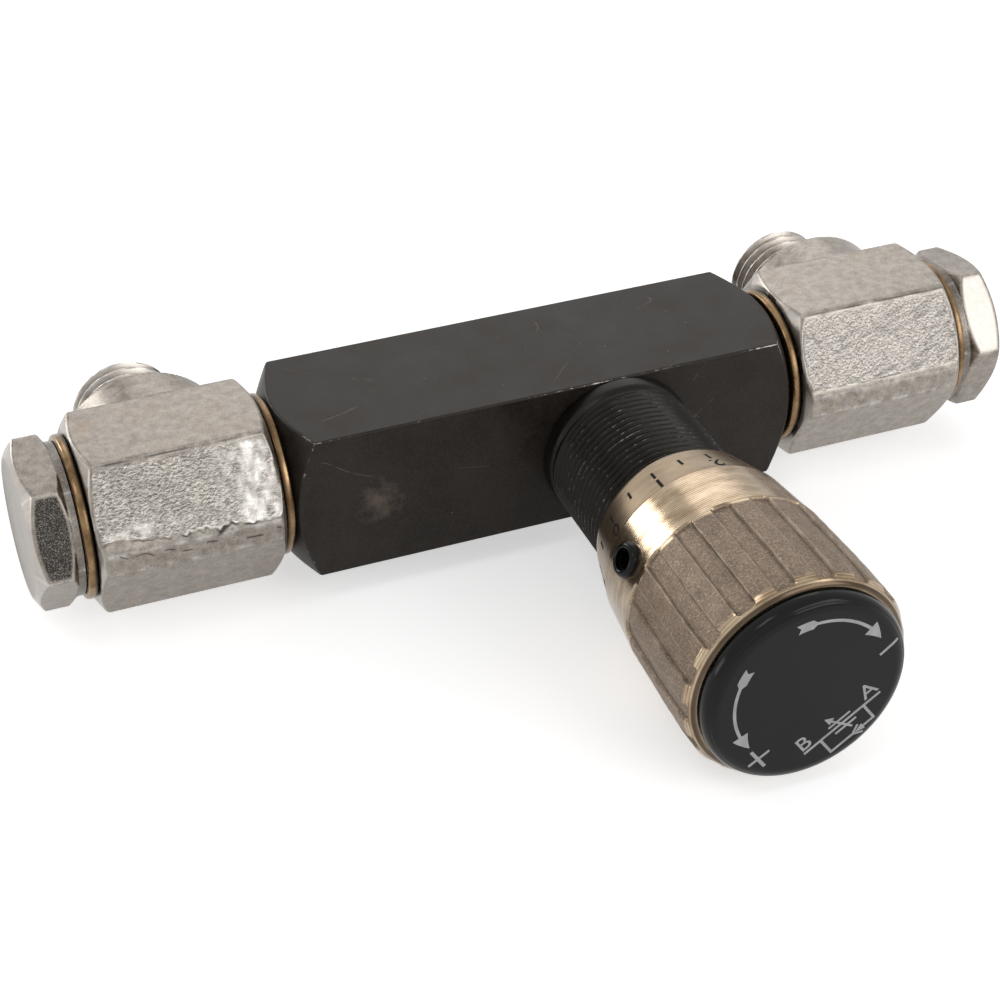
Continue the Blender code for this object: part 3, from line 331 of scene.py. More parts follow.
def makeZinc(name, look):
    material, node, place, (patches, fine, stainNoise, skin, edge, turned, dull, crack) = newTree(name, (
        (look["patchSize"], 6.0, 0.7), (look["fineSize"], 3.0, 0.65), (look["stainSize"], 5.0, 0.68)),
        ("skin", "edge", "turned", "dull", "crack"))
    # the skin's wrinkles, and their slope from a second sample a little further up, which gives painted light on the
    # crests and painted shade in the hollows
    skinSettings = {"Scale": (look["skinStretch"], 1.0, 1.0), "Rotation": (0.0, 0.5, 0.3)}
    skinPlace = node("Mapping", skinSettings, {"Vector": place})
    further = node("Mapping", {"Location": (0.04 * mm, 0.05 * mm, 0.1 * mm)}, {"Vector": skinPlace})
    wrinkleSettings = {"Scale": perMm(look["skinSize"]), "Detail": 5.0, "Roughness": 0.7, "Distortion": 0.15}
    wrinkles, wrinklesFurther = [node("TexNoise", wrinkleSettings, {"Vector": at}) for at in (skinPlace, further)]
    wrinkleSlope = node("Math", {"operation": "SUBTRACT"}, {0: wrinklesFurther, 1: wrinkles})
    paintedSlopeShare = node("MapRange", {1: -look["skinContrast"], 2: look["skinContrast"]}, {0: wrinkleSlope})
    mottle = node("Math", {"operation": "MULTIPLY_ADD", 1: 0.6}, {0: fine, 2: patches})
    tint = node("MapRange", {1: 0.62, 2: 1.0}, {0: mottle})
    base, skinPaintedLightAndShade = [
        node("Mix", {"data_type": "RGBA", 6: toLinear(look[dark]), 7: toLinear(look[light])}, {0: share}, 2)
        for dark, light, share in (("dark", "light", tint), ("skinPaintedShade", "skinPaintedLight", paintedSlopeShare))]
    stain = node("MapRange", {1: 0.56, 2: 0.72, 3: 0.0, 4: 0.5}, {0: stainNoise})
    speck = node("MapRange", {1: 0.36, 2: 0.27, 3: 0.0, 4: 0.55}, {0: fine})
    skinShare = node("Math", {"operation": "MULTIPLY", 1: 0.85}, {0: skin})
    # painted glints: fine specks where the painted shade is thinned
    paintedGlints = node("MapRange", {1: 0.5, 2: 0.6, 3: 1.0, 4: 0.5}, {0: fine})
    paintedShadeShare = node("Math", {"operation": "MULTIPLY"}, {0: dull, 1: paintedGlints})
    # painted highlights along the edges, broken up by the patches
    paintedRidgeHighlightShare = node("MapRange", {1: 0.3, 2: 0.6}, {0: patches})
    paintedRidgeHighlights = node("Math", {"operation": "MULTIPLY"}, {0: edge, 1: paintedRidgeHighlightShare})
    # layers over the base, from stains and pits up to the skin's painted light and shade, a facet's painted shade with
    # painted glints, turned faces, painted highlights on edges, and cracks with painted shadow lines
    colour = base
    for share, tone in ((stain, "stain"), (speck, "crack"), (skinShare, "skin"), (paintedShadeShare, "dull"),
                        (turned, "turned"), (paintedRidgeHighlights, "paintedRidgeHighlight"), (crack, "crack")):
        settings, links = {"data_type": "RGBA"}, {0: share, 6: colour}
        if tone == "skin":
            links[7] = skinPaintedLightAndShade
        else:
            settings[7] = toLinear(look[tone])
        colour = node("Mix", settings, links, 2)
    low, high = look["roughness"] - 0.06, look["roughness"] + 0.08
    rough = node("MapRange", {1: 0.3, 2: 0.7, 3: low, 4: high}, {0: patches})
    smoother = node("Math", {"operation": "MULTIPLY_ADD", 1: -0.1}, {0: turned, 2: rough})
    fineHeight = node("Math", {"operation": "MULTIPLY", 1: look["fineBump"]}, {0: fine})
    skinHeight = node("Math", {"operation": "MULTIPLY", 1: look["skinBump"]}, {0: wrinkles})
    height = node("Math", {"operation": "MULTIPLY_ADD"}, {0: skinHeight, 1: skin, 2: fineHeight})
    bump = node("Bump", {"Strength": 1.0, "Distance": mm}, {"Height": height})
    finishMaterial(node, {"Metallic": 1.0}, {"Base Color": colour, "Roughness": smoother, "Normal": bump})
    return material


# Cast bronze: pale and finely turned on dial, collar and front rim, sandy brown where the casting skin was left, with
# painted shade in the flutes' corners and in the slit where the cap meets the rim

bronzeLook = dict(
    turned="#bfac93", turnedDark="#7f6b53", cast="#978470", castLight="#bdae9b", castDark="#65574b", dial="#94816a",
    paintedCornerShade="#43372c", grainSize=0.25, blotchSize=2.6, stainSize=1.5, ringStep=0.34, ringBump=0.0025,
    turnedRough=0.19, castRough=0.5, castBump=0.03)


def makeBronze(name, look):
    material, node, place, (grain, blotch, cast, dial, edge, foot) = newTree(name, (
        (look["grainSize"], 4.0, 0.72), (look["blotchSize"], 5.0, 0.6)), ("cast", "dial", "edge", "foot"))
    # stains stretch round the axis, and the tool's rings are a sine along it that the blotches push out of step
    stainPlace = node("Mapping", {"Scale": (0.3, 1.0, 0.3)}, {"Vector": place})
    stainSettings = {"Scale": perMm(look["stainSize"]), "Detail": 5.0, "Roughness": 0.65}
    stains = node("TexNoise", stainSettings, {"Vector": stainPlace})
    along = node("SeparateXYZ", None, {0: place}, 1)
    drift = node("Math", {"operation": "MULTIPLY", 1: 0.5}, {0: blotch})
    ringsPerMetre = 2 * math.pi / (look["ringStep"] * mm)
    phase = node("Math", {"operation": "MULTIPLY_ADD", 1: ringsPerMetre}, {0: along, 2: drift})
    wave = node("Math", {"operation": "SINE"}, {0: phase})
    rings = node("MapRange", {1: -1.0, 2: 1.0}, {0: wave})
    ringSum = node("Math", {"operation": "MULTIPLY_ADD", 1: 0.2}, {0: rings, 2: stains})
    turnedTint = node("MapRange", {1: 0.4, 2: 0.8}, {0: ringSum})
    castSum = node("Math", {"operation": "MULTIPLY_ADD", 1: 0.35}, {0: blotch, 2: grain})
    castTint = node("MapRange", {1: 0.52, 2: 0.84}, {0: castSum})
    turned, castColour = [
        node("Mix", {"data_type": "RGBA", 6: toLinear(look[low]), 7: toLinear(look[high])}, {0: share}, 2)
        for low, high, share in (("turned", "turnedDark", turnedTint), ("castDark", "cast", castTint))]
    dialShare = node("Math", {"operation": "MULTIPLY", 1: 0.6}, {0: dial})
    withDial = node("Mix", {"data_type": "RGBA", 7: toLinear(look["dial"])}, {0: dialShare, 6: turned}, 2)
    speck = node("MapRange", {1: 0.58, 2: 0.7, 3: 0.0, 4: 0.75}, {0: grain})
    speckled = node("Mix", {"data_type": "RGBA", 7: toLinear(look["castLight"])}, {0: speck, 6: castColour}, 2)
    colour = node("Mix", {"data_type": "RGBA"}, {0: cast, 6: withDial, 7: speckled}, 2)
    worn = node("Math", {"operation": "MULTIPLY", 1: 0.8}, {0: edge})
    # painted shade in corners and in the slit before the cap, then worn edges
    for share, tone in ((foot, "paintedCornerShade"), (worn, "castLight")):
        colour = node("Mix", {"data_type": "RGBA", 7: toLinear(look[tone])}, {0: share, 6: colour}, 2)
    metal = node("MapRange", {1: 0.0, 2: 1.0, 3: 0.95, 4: 0.55}, {0: cast})
    rough = node("MapRange", {1: 0.0, 2: 1.0, 3: look["turnedRough"], 4: look["castRough"]}, {0: cast})
    roughDial = node("Math", {"operation": "MULTIPLY_ADD", 1: 0.1}, {0: dial, 2: rough})
    grainHeight = node("Math", {"operation": "MULTIPLY", 1: look["castBump"]}, {0: grain})
    castHeight = node("Math", {"operation": "MULTIPLY"}, {0: grainHeight, 1: cast})
    height = node("Math", {"operation": "MULTIPLY_ADD", 1: look["ringBump"]}, {0: rings, 2: castHeight})
    bump = node("Bump", {"Strength": 1.0, "Distance": mm}, {"Height": height})
    finishMaterial(node, {}, {"Base Color": colour, "Metallic": metal, "Roughness": roughDial, "Normal": bump})
    return material


# Simple finishes that share one build: two tones mixed by noise, a roughness range and a fine bump

def makeFinish(name, light, dark, metallic, roughness, patchSize, grainSize, bumpMm, specular=0.5, edgeColour=None):
    material, node, place, (patches, grain, *edge) = newTree(
        name, ((patchSize, 5.0, 0.6), (grainSize, 3.0, 0.5)), ("edge",) if edgeColour else ())
    tint = node("MapRange", {1: 0.35, 2: 0.65}, {0: patches})
    colour = node("Mix", {"data_type": "RGBA", 6: toLinear(light), 7: toLinear(dark)}, {0: tint}, 2)
    if edgeColour:
        colour = node("Mix", {"data_type": "RGBA", 7: toLinear(edgeColour)}, {0: edge[0], 6: colour}, 2)
    rough = node("MapRange", {1: 0.3, 2: 0.7, 3: roughness * 0.85, 4: roughness * 1.15}, {0: grain})
    bump = node("Bump", {"Strength": 1.0, "Distance": bumpMm * mm}, {"Height": grain})
    sockets = {"Metallic": metallic} if metallic > 0.5 else {"Metallic": metallic, "Specular IOR Level": specular}
    finishMaterial(node, sockets, {"Base Color": colour, "Roughness": rough, "Normal": bump})
    return material


# bar and neck: soft satin black, the neck deeper and shinier with bright crests
blackSteel = makeBlackSteel("phosphatedBlackSteel", blackSteelLook)
neckSteel = makeBlackSteel("phosphatedThreadSteel", dict(
    blackSteelLook, dark="#100e0d", light="#191614", bare="#8d8781", wearSize=0.8, wearRange=(1.0, 1.2), scratch=0.0,
    roughness=0.32, specular=0.2))
# fittings: the left one coarse and contrasty, the right one even and fine, the bolts smooth
zincLeft = makeZinc("forgedZincPlatedSteelCoarse", dict(
    zincLook, skinSize=0.36, skinStretch=0.75, skinBump=0.09, skinPaintedLight="#c0bbb4", skinPaintedShade="#4f4a44",
    skinContrast=0.11, turned="#d6d2cc"))
zincRight = makeZinc("forgedZincPlatedSteel", dict(
    zincLook, skinSize=0.32, skinPaintedLight="#b5b0aa", skinPaintedShade="#58534e", skinContrast=0.11, skinBump=0.05,
    light="#aaa39a", dark="#7c756e"))
zincTurned = makeZinc("hexagonBarZincPlatedSteel", dict(
    zincLook, skinSize=0.3, skinBump=0.015, stain="#8d8073", dull="#363330", fineSize=0.16))
bronze = makeBronze("castAndTurnedBronze", bronzeLook)
# golden brown film over zinc, with painted shade at one edge
yellowSteel = makeFinish("yellowPassivatedSteel", "#93795a", "#665038", 1.0, 0.27, 2.6, 0.25, 0.002,
                         edgeColour="#2e251b")
# dull black without sheen, then deep black with a glossy shoulder, then an oiled black that glints
nitrile = makeFinish("mouldedNitrileRubber", "#1d1c1c", "#121212", 0.0, 0.6, 3.0, 0.2, 0.004)
moulded = makeFinish("mouldedBlackNylon", "#0f0d0c", "#0a0908", 0.0, 0.12, 9.0, 0.5, 0.0006, specular=0.2)
oxideScrew = makeFinish("oiledBlackOxideSteel", "#080707", "#100e0e", 0.0, 0.2, 2.0, 0.3, 0.002, specular=0.16)
# bare turned steel, and waxy off-white plastic
turnedSteel = makeFinish("turnedBrightSteel", "#b9b9ba", "#9b9b9d", 1.0, 0.28, 3.0, 0.15, 0.003)
whitePlastic = makeFinish("turnedWhiteFluoroplastic", "#e4e2dc", "#d6d3cb", 0.0, 0.4, 4.0, 0.3, 0.003)
# thin opaque grey ink, and matt black paint in the engraving
printPaint = makeFinish("padPrintedGreyInk", "#b4b3b5", "#a3a2a4", 0.0, 0.5, 1.5, 0.2, 0.002, specular=0.2)
engravedPaint = makeFinish("blackFilledEngraving", "#15110e", "#241e19", 0.0, 0.65, 0.8, 0.15, 0.002, specular=0.1)
print("materials made")


# Valve body: the square bar with its turned 30 degree ends and its ports

bar = dict(half=10.0, length=67.8, endRadius=9.3, rounding=0.35, portRadius=6.75, portDepth=13.3, portChamfer=0.6,
           # where the edges are rubbed most, and how far each spot reaches
           rubbed=(((-32.5, -10.0, 20.0), 2.6), ((30.5, -10.0, 20.0), 3.0), ((-33.5, -10.0, 12.0), 2.0),
                   ((5.0, -10.0, 20.0), 2.0)))


def barFields(x, y, z):
    # the distances outside front and back, top and underside, and the end cones
    radius = np.hypot(y, z)
    cone = (radius - bar["endRadius"] - (bar["length"] / 2 - np.abs(x)) / slope) * 0.5
    return [np.abs(y) - bar["half"], np.abs(z) - bar["half"], cone]


def barField(x, y, z):
    # a square prism cut by a cone at each end, edges rounded
    sideY, sideZ, cone = barFields(x, y, z)
    return smoothMax(smoothMax(sideY, sideZ, bar["rounding"]), cone, bar["rounding"] * 0.7)


def makeBar():
    # angles round the axis, fine near the four corners and wider between them
    reach, fine = 2.5, 0.25
    quarter = np.concatenate([np.arange(-45, -45 + reach, fine),
                              np.linspace(-45 + reach, 45 - reach, int((90 - 2 * reach) / 1.4), endpoint=False),
                              np.arange(45 - reach, 45, fine)])
    angles = np.radians(np.concatenate([quarter + 90 * side for side in range(4)]))[None, :]
    half = bar["length"] / 2
    ends = np.concatenate([np.linspace(0, 3.0, 34), [3.3, 3.8, 4.6, 6.0]])
    stations = np.concatenate([-half + ends, np.linspace(-27, 27, 37), (half - ends)[::-1]])[:, None]
    radii = solveRadius(barField, stations, angles, 16)
    skinX, skinA = np.broadcast_arrays(stations, angles)
    wear = edgeMark(barFields(skinX, radii * np.cos(skinA), radii * np.sin(skinA)), 0.22)
    points = aroundX(stations, radii, angles)
    rubbed = 0.4 + 0.3 * wobble(points, 9.0, 7)
    for spot, size in bar["rubbed"]:
        rubbed = rubbed + 0.85 * np.exp(-np.linalg.norm(points - np.array(spot), axis=-1) / size)
    wear = wear * np.clip(rubbed, 0, 1.25)
    # port mouths: end face, chamfer, bore and floor, from the outer edge to the middle
    bore, floor = bar["portRadius"], half - bar["portDepth"]
    port = [(half, 8.6), (half, bore + bar["portChamfer"]), (half - bar["portChamfer"], bore), (half - 4, bore),
            (floor, bore), (floor, 3.0)]
    skin = np.concatenate([aroundX(*profile(port[::-1], -1), angles), points, aroundX(*profile(port), angles)])
    marks = padRows({"edge": wear}, len(port), len(port))
    makePiece("valveBody", [sheetOf(skin, marks, True, True)], blackSteel, "valve", ["valve_body"])


makeBar()


# Neck: the screwed-in bush, M20 x 1 thread from its root to the knob's end stop

neck = dict(rootRadius=10.0, rootEnd=12.3, crest=9.97, depth=0.55, pitch=1.0, threadEnd=39.5,
            # the end and the stepped bore that guides needle and spindle, with the stop ring's groove
            inside=[(39.6, 9.4), (44.5, 9.4), (45.2, 8.8), (45.2, 5.2), (44.3, 5.2), (44.3, 5.85), (42.9, 5.85),
                    (42.9, 5.2), (28.0, 5.2), (28.0, 4.3), (12.0, 4.3), (12.0, 3.7), (8.0, 3.7)])


def threadRadius(station, angle, crest, depth, pitch):
    # a helix of flat-topped teeth: the phase grows with the station and turns once round per pitch
    phase = np.mod(station / pitch + angle / (2 * math.pi), 1.0)
    tooth = np.clip(1.25 - 2.6 * np.abs(phase - 0.5) - 0.12, 0, 1)
    return crest - depth * (1 - tooth)


def makeNeck():
    # the thread fades in from the root, and the crests carry a mark that shows them rubbed
    angle = turns(160)
    station = np.arange(neck["rootEnd"] + 0.25, neck["threadEnd"], 0.1)[:, None]
    fade = smoothStep((station - neck["rootEnd"]) / 1.4)
    thread = threadRadius(station, angle, neck["crest"], neck["depth"], neck["pitch"])
    thread = neck["rootRadius"] - 0.35 + (thread - neck["rootRadius"] + 0.35) * fade
    root = [(8.0, 7.9), (10.3, 10.0), (11.7, 10.0), (12.1, 9.93), (12.3, 9.75)]
    skin = np.concatenate([aroundKnob(*profile(root), angle), aroundKnob(station, thread, angle),
                           aroundKnob(*profile(neck["inside"]), angle)])
    crests = smoothStep((thread - neck["crest"] + 0.12) / 0.1) * 0.72
    marks = padRows({"edge": crests}, len(root), len(neck["inside"]))
    marks["edge"][2:4] = 0.35
    makePiece("threadedNeck", [sheetOf(skin, marks, wrapRows=True)], neckSteel, "valve", ["neck_bush"])


makeNeck()
print("bar and neck made")


# Adjusting knob: dial rim, collar, fluted grip and turned front rim in one surface

knob = dict(
    webHole=3.05, flutes=17, flutePhase=121.5, fluteHalf=5.0, fluteWall=0.22, fluteDepth=0.43, fluteStart=42.9,
    fluteEnd=59.3, castStart=43.55, castEnd=58.7,
    stations=[28.3, 28.36, 28.8, 34.85, 34.91, 42.95, 43.01, 51.3, 56.2, 58.65, 59.3, 59.75, 59.95],
    radii=[10.55, 10.72, 10.9, 12.45, 12.52, 13.4, 13.46, 13.84, 13.96, 13.86, 13.54, 13.14, 12.86],
    recess=[(59.95, 12.3), (59.95, 11.3), (59.65, 11.0), (56.5, 11.0), (54.05, 11.0), (53.95, 10.8), (53.95, 6.0)],
    back=[(47.65, 6.0), (47.65, 9.9), (47.4, 10.15), (38.0, 10.15), (28.8, 10.15), (28.4, 10.25), (28.3, 10.35)])
lockScrew = dict(angle=math.radians(155.0), station=39.35, radius=2.15, top=13.95, bottom=10.75, opening=1.35,
                 socket=2.2, depth=2.6, holeFloor=11.0)
screwFoot = np.array([knobX, -lockScrew["station"], axisHeight])
screwOut = np.array([math.cos(lockScrew["angle"]), 0, math.sin(lockScrew["angle"])])


def knobRadius(station):
    # the knob's turned profile
    return np.interp(station, knob["stations"], knob["radii"])


def makeKnob():
    # the turned profile, less the flutes, plus the casting's unevenness, less the lock screw's hole
    phase = math.radians(knob["flutePhase"])
    angle = phase + turns(knob["flutes"] * 32)
    station = np.concatenate([np.linspace(*span) for span in (
        (28.3, 28.8, 6), (29.1, 34.6, 12), (34.75, 35.05, 5), (35.5, 37.1, 4), (37.3, 41.4, 34), (41.7, 42.3, 2),
        (42.6, 43.9, 18), (44.6, 57.7, 20), (58.0, 59.95, 27))])[:, None]
    pitch = 2 * math.pi / knob["flutes"]
    fromMiddle = np.degrees(np.abs(np.mod(angle - phase + pitch / 2, pitch) - pitch / 2))
    ends = np.minimum(station - knob["fluteStart"], knob["fluteEnd"] - station)
    # a flute's outline is a slot with rounded corners: the smaller of its side and end distances, in mm
    side = (knob["fluteHalf"] - fromMiddle) * math.radians(1) * 13.6
    inside = -smoothMax(-side, -ends, 0.5)
    groove = smoothStep(inside / knob["fluteWall"] + 0.5)
    radius = knobRadius(station) - knob["fluteDepth"] * groove
    points = aroundKnob(station, radius, angle)
    ribEnds = np.minimum(station - knob["castStart"], knob["castEnd"] - station)
    cast = np.maximum(groove, smoothStep((ribEnds + 0.06 * wobble(points, 1.3, 3)) / 0.12))
    lift = wobble(points, 1.1, 11) * 0.018 + wobble(points, 4.0, 12) * 0.02
    radius = radius + lift * cast - 0.03 * cast
    # the lock screw's hole: the skin drops to its floor inside the screw's own outline
    reach = points - screwFoot
    fromScrew = np.linalg.norm(reach - (reach @ screwOut)[..., None] * screwOut, axis=-1)
    hole = smoothStep((lockScrew["radius"] - 0.1 - fromScrew) / 0.4) * (reach @ screwOut > 0)
    radius = radius - (radius - lockScrew["holeFloor"]) * hole
    # worn bright lines along the flutes' edges, and the rim's edge
    onGrip = station > 43.65
    edge = np.exp(-np.abs(inside + 0.06) / 0.06) * (0.45 + 0.45 * wobble(points, 2.5, 5)) * onGrip * (station < 58.5)
    edge = np.clip(edge + np.exp(-np.abs(station - 28.7) / 0.12), 0, 1)
    # painted shade in the flutes' inner corners, and in the slit in front, where the cap sits down on the rim
    foot = bell(inside - 0.16, 0.09) * (0.62 + 0.3 * wobble(points, 2.0, 6)) * onGrip * (station < 58.7)
    foot = np.clip(foot, 0, 0.85) + 0.9 * smoothStep((station - 59.55) / 0.15)
    dial = smoothStep((34.8 - station) / 0.1) * smoothStep((station - 28.8) / 0.1) + 0 * angle
    square = knob["webHole"] / np.maximum(np.abs(np.cos(angle)), np.abs(np.sin(angle)))
    skin = np.concatenate([aroundKnob(station, radius, angle), aroundKnob(*profile(knob["recess"]), angle),
                           aroundKnob(column(53.95, 47.65), square, angle), aroundKnob(*profile(knob["back"]), angle)])
    marks = padRows({"cast": cast, "edge": edge, "dial": dial, "foot": foot}, 0, len(skin) - len(station))
    makePiece("adjustingKnob", [sheetOf(skin, marks, wrapRows=True)], bronze, "knob", ["adjusting_knob"])


makeKnob()

dialMarks = dict(first=152.3, step=18.0, tickStart=30.55, tickEnd=32.1, tickWidth=0.36, digitStart=32.6,
                 digitHeight=2.1, digitThickness=0.06, digitBold=0.024)


def tick(angle):
    # a thin bar that follows the dial's cone: four corners carried along the station
    station = np.linspace(dialMarks["tickStart"], dialMarks["tickEnd"], 5)[:, None]
    across = np.array([-0.5, 0.5, 0.5, -0.5])[None, :] * dialMarks["tickWidth"]
    rise = np.array([-0.05, -0.05, 0.012, 0.012])[None, :]
    radius = knobRadius(station)
    return sheetOf(aroundKnob(station, radius + rise, math.radians(angle) + across / radius), None, True, True)


def textSolid(text, height, thickness, bold):
    # a letter as a thin closed solid: points in mm, x along the text and y up, centred in x and standing on y = 0
    curve = bpy.data.curves.new("letter", "FONT")
    curve.body, curve.align_x, curve.extrude, curve.offset = text, "CENTER", 0.5, bold
    holder = bpy.data.objects.new("letter", curve)
    bpy.context.scene.collection.objects.link(holder)
    bpy.context.view_layer.update()
    mesh = bpy.data.meshes.new_from_object(holder.evaluated_get(bpy.context.evaluated_depsgraph_get()))
    mesh.calc_loop_triangles()
    points = np.zeros(len(mesh.vertices) * 3)
    mesh.vertices.foreach_get("co", points)
    points = points.reshape(-1, 3)
    faces = np.zeros(len(mesh.loop_triangles) * 3, np.int32)
    mesh.loop_triangles.foreach_get("vertices", faces)
    low, high = points.min(0), points.max(0)
    points = (points - [(low[0] + high[0]) / 2, low[1], 0]) * (height / (high[1] - low[1]))
    points[:, 2] = np.sign(points[:, 2]) * thickness / 2
    bpy.data.objects.remove(holder)
    bpy.data.curves.remove(curve)
    bpy.data.meshes.remove(mesh)
    return points, faces.reshape(-1, 3)


def makeLetters(name, letters, material):
    # letters already placed as (points, triangles) become one object
    starts = np.cumsum([0] + [len(points) for points, triangles in letters])
    faces = np.concatenate([triangles + start for (points, triangles), start in zip(letters, starts)])
    makeObject(name, np.concatenate([points for points, triangles in letters]), np.zeros((0, 4), int), faces, {},
               material, "knob", (), 30)


def dialNumber(number):
    # a number wrapped round the dial's cone, every second tick
    points, triangles = textSolid(str(number), dialMarks["digitHeight"], dialMarks["digitThickness"],
                                  dialMarks["digitBold"])
    station = dialMarks["digitStart"] + points[:, 1]
    radius = knobRadius(station)
    angle = math.radians(dialMarks["first"] - 2 * dialMarks["step"] * number) + points[:, 0] / radius
    return aroundKnob(station, radius + points[:, 2] - 0.018, angle), triangles


makePiece("dialTicks", [tick(dialMarks["first"] - dialMarks["step"] * number) for number in range(20)],
          engravedPaint, "knob", ())
makeLetters("dialNumbers", [dialNumber(number) for number in range(10)], engravedPaint)
print("knob and dial made")


# Lock screw in the collar, with its hexagon socket

def makeLockScrew():
    # a turned outline about the screw's own axis, ending in a hexagon that runs down to the socket's floor
    turn = turns(96)
    side = np.array([0.0, -1.0, 0.0])
    other = np.cross(screwOut, side)
    hexagon = lockScrew["socket"] / 2 / np.cos(np.mod(turn + 0.17, math.pi / 3) - math.pi / 6)
    top, radius, opening = lockScrew["top"], lockScrew["radius"], lockScrew["opening"]
    rows = [(lockScrew["bottom"], 2.0), (lockScrew["bottom"] + 0.3, radius), (top - 0.55, radius),
            (top - 0.3, radius - 0.1), (top - 0.1, radius - 0.28), (top, radius - 0.5), (top - 0.02, 1.5),
            (top - 0.12, opening), (top - 0.7, opening - 0.02)]
    height = column(*[row[0] for row in rows], top - 0.72, top - lockScrew["depth"])
    span = np.concatenate([column(*[row[1] for row in rows]) + 0 * turn, hexagon, hexagon])
    across = (span * np.cos(turn))[..., None] * side + (span * np.sin(turn))[..., None] * other
    points = screwFoot + height[..., None] * screwOut + across
    makePiece("lockScrew", [sheetOf(points, None, True, True)], oxideScrew, "lock_screw", ["knob_lock_screw"],
              50)


makeLockScrew()


# Knob cap: moulded black disc with a rolled shoulder and its printed signs

cap = dict(front=62.17, radius=12.6, flat=10.8, drop=1.6, power=2.2, ring=12.0, ringDepth=0.05, ringWidth=0.06,
           back=[(60.36, 12.6), (60.25, 12.5), (60.25, 10.75), (59.95, 10.7), (57.95, 10.7), (57.86, 10.5)])
# the signs lie in their own upright plane (u, v), turned on the cap
signs = dict(
    turn=math.radians(35.5), arrowCentre=(0.42, 0.21), arrows=((103.5, 32.0, 9.47, -1), (149.8, 220.0, 9.57, 1)),
    # minus, then both bars of the plus: start, end, width, width at the end, lift
    plusMinus=(((8.61, -2.77), (11.3, -2.6), 0.36, 0.36, 0.0), ((-9.28, -1.57), (-9.28, -4.81), 0.42, 0.42, 0.0),
               ((-10.65, -3.14), (-7.66, -3.26), 0.36, 0.36, 0.003)),
    # the throttle and check symbol: start, end, width, width at the end
    symbol=(((-5.16, -7.61), (5.94, -7.61), 0.34, 0.34), ((3.49, -7.61), (3.49, -10.42), 0.34, 0.34),
            ((3.5, -10.26), (1.8, -10.26), 0.34, 0.34), ((-2.75, -7.61), (-2.75, -10.42), 0.34, 0.34),
            ((-2.75, -10.26), (0.45, -10.26), 0.34, 0.34), ((0.39, -10.26), (1.57, -9.48), 0.3, 0.3),
            ((0.39, -10.26), (1.52, -11.0), 0.3, 0.3), ((1.95, -10.26), (0.79, -10.26), 1.0, 0.05),
            ((-1.18, -6.89), (1.96, -6.89), 0.3, 0.3), ((-1.03, -8.33), (2.01, -8.33), 0.3, 0.3),
            ((1.03, -9.08), (-0.44, -6.09), 0.28, 0.28), ((-0.34, -6.28), (-0.83, -5.3), 1.05, 0.05)),
    letters=(("A", 5.0, -7.12, 2.15), ("B", -4.32, -7.16, 2.1)), letterThickness=0.05, letterBold=0.006)


def capSurface(radius):
    # station of the cap's front: flat in the middle, then a superellipse down to the rim, with one fine turned line
    share = np.clip((radius - cap["flat"]) / (cap["radius"] - cap["flat"]), 0, 1)
    shoulder = cap["drop"] * (1 - (1 - share ** cap["power"]) ** (1 / cap["power"]))
    return cap["front"] - shoulder - cap["ringDepth"] * bell(radius - cap["ring"], cap["ringWidth"])


def makeCap():
    # rings of the front surface from the middle to the rim, then the back's profile
    angle = turns(240)
    radii = np.concatenate([np.linspace(0.8, 10.2, 10), np.linspace(10.8, 12.46, 56),
                            [12.51, 12.55, 12.58, 12.596, 12.6]])[:, None]
    skin = np.concatenate([aroundKnob(capSurface(radii), radii, angle), aroundKnob(*profile(cap["back"]), angle)])
    makePiece("knobCap", [sheetOf(skin, None, True, True)], moulded, "knob", ["knob_cap"])


def printedSlab(lineA, lineB, lift=0.0):
    # ink between two lines in the cap's plane: four corners carried along, lying on the cap's surface
    lines = np.stack([lineA, lineA, lineB, lineB], 1)
    rise = np.array([-0.03, 0.012 + lift, 0.012 + lift, -0.03])[None, :]
    station = capSurface(np.hypot(lines[..., 0], lines[..., 1])) + rise
    return sheetOf(np.stack([knobX + lines[..., 0], -station, axisHeight + lines[..., 1]], -1), None, True, True)


def onCap(u, v):
    # from the signs' own upright plane to the cap's plane
    cosine, sine = math.cos(signs["turn"]), math.sin(signs["turn"])
    return np.stack([u * cosine - v * sine, u * sine + v * cosine], -1)


def stroke(start, end, width, widthEnd, lift):
    # a straight bar or, with another width at its end, a wedge
    share = np.linspace(0, 1, 9)[:, None]
    start, end = np.array(start, float), np.array(end, float)
    line = start + (end - start) * share
    across = np.array([-(end - start)[1], (end - start)[0]]) / np.linalg.norm(end - start)
    spread = (width + (widthEnd - width) * share) / 2
    upper, lower = line + across * spread, line - across * spread
    return printedSlab(onCap(upper[:, 0], upper[:, 1]), onCap(lower[:, 0], lower[:, 1]), lift)


def arcBand(first, last, innerStart, innerEnd, outerStart, outerEnd):
    # a band along the arrows' circle between two radii that change steadily
    share = np.linspace(0, 1, 25)
    angle = np.radians(first + (last - first) * share)
    centre = np.array(signs["arrowCentre"])
    direction = np.stack([np.cos(angle), np.sin(angle)], -1)
    inner = (innerStart + (innerEnd - innerStart) * share)[:, None]
    outer = (outerStart + (outerEnd - outerStart) * share)[:, None]
    return printedSlab(centre + direction * inner, centre + direction * outer)


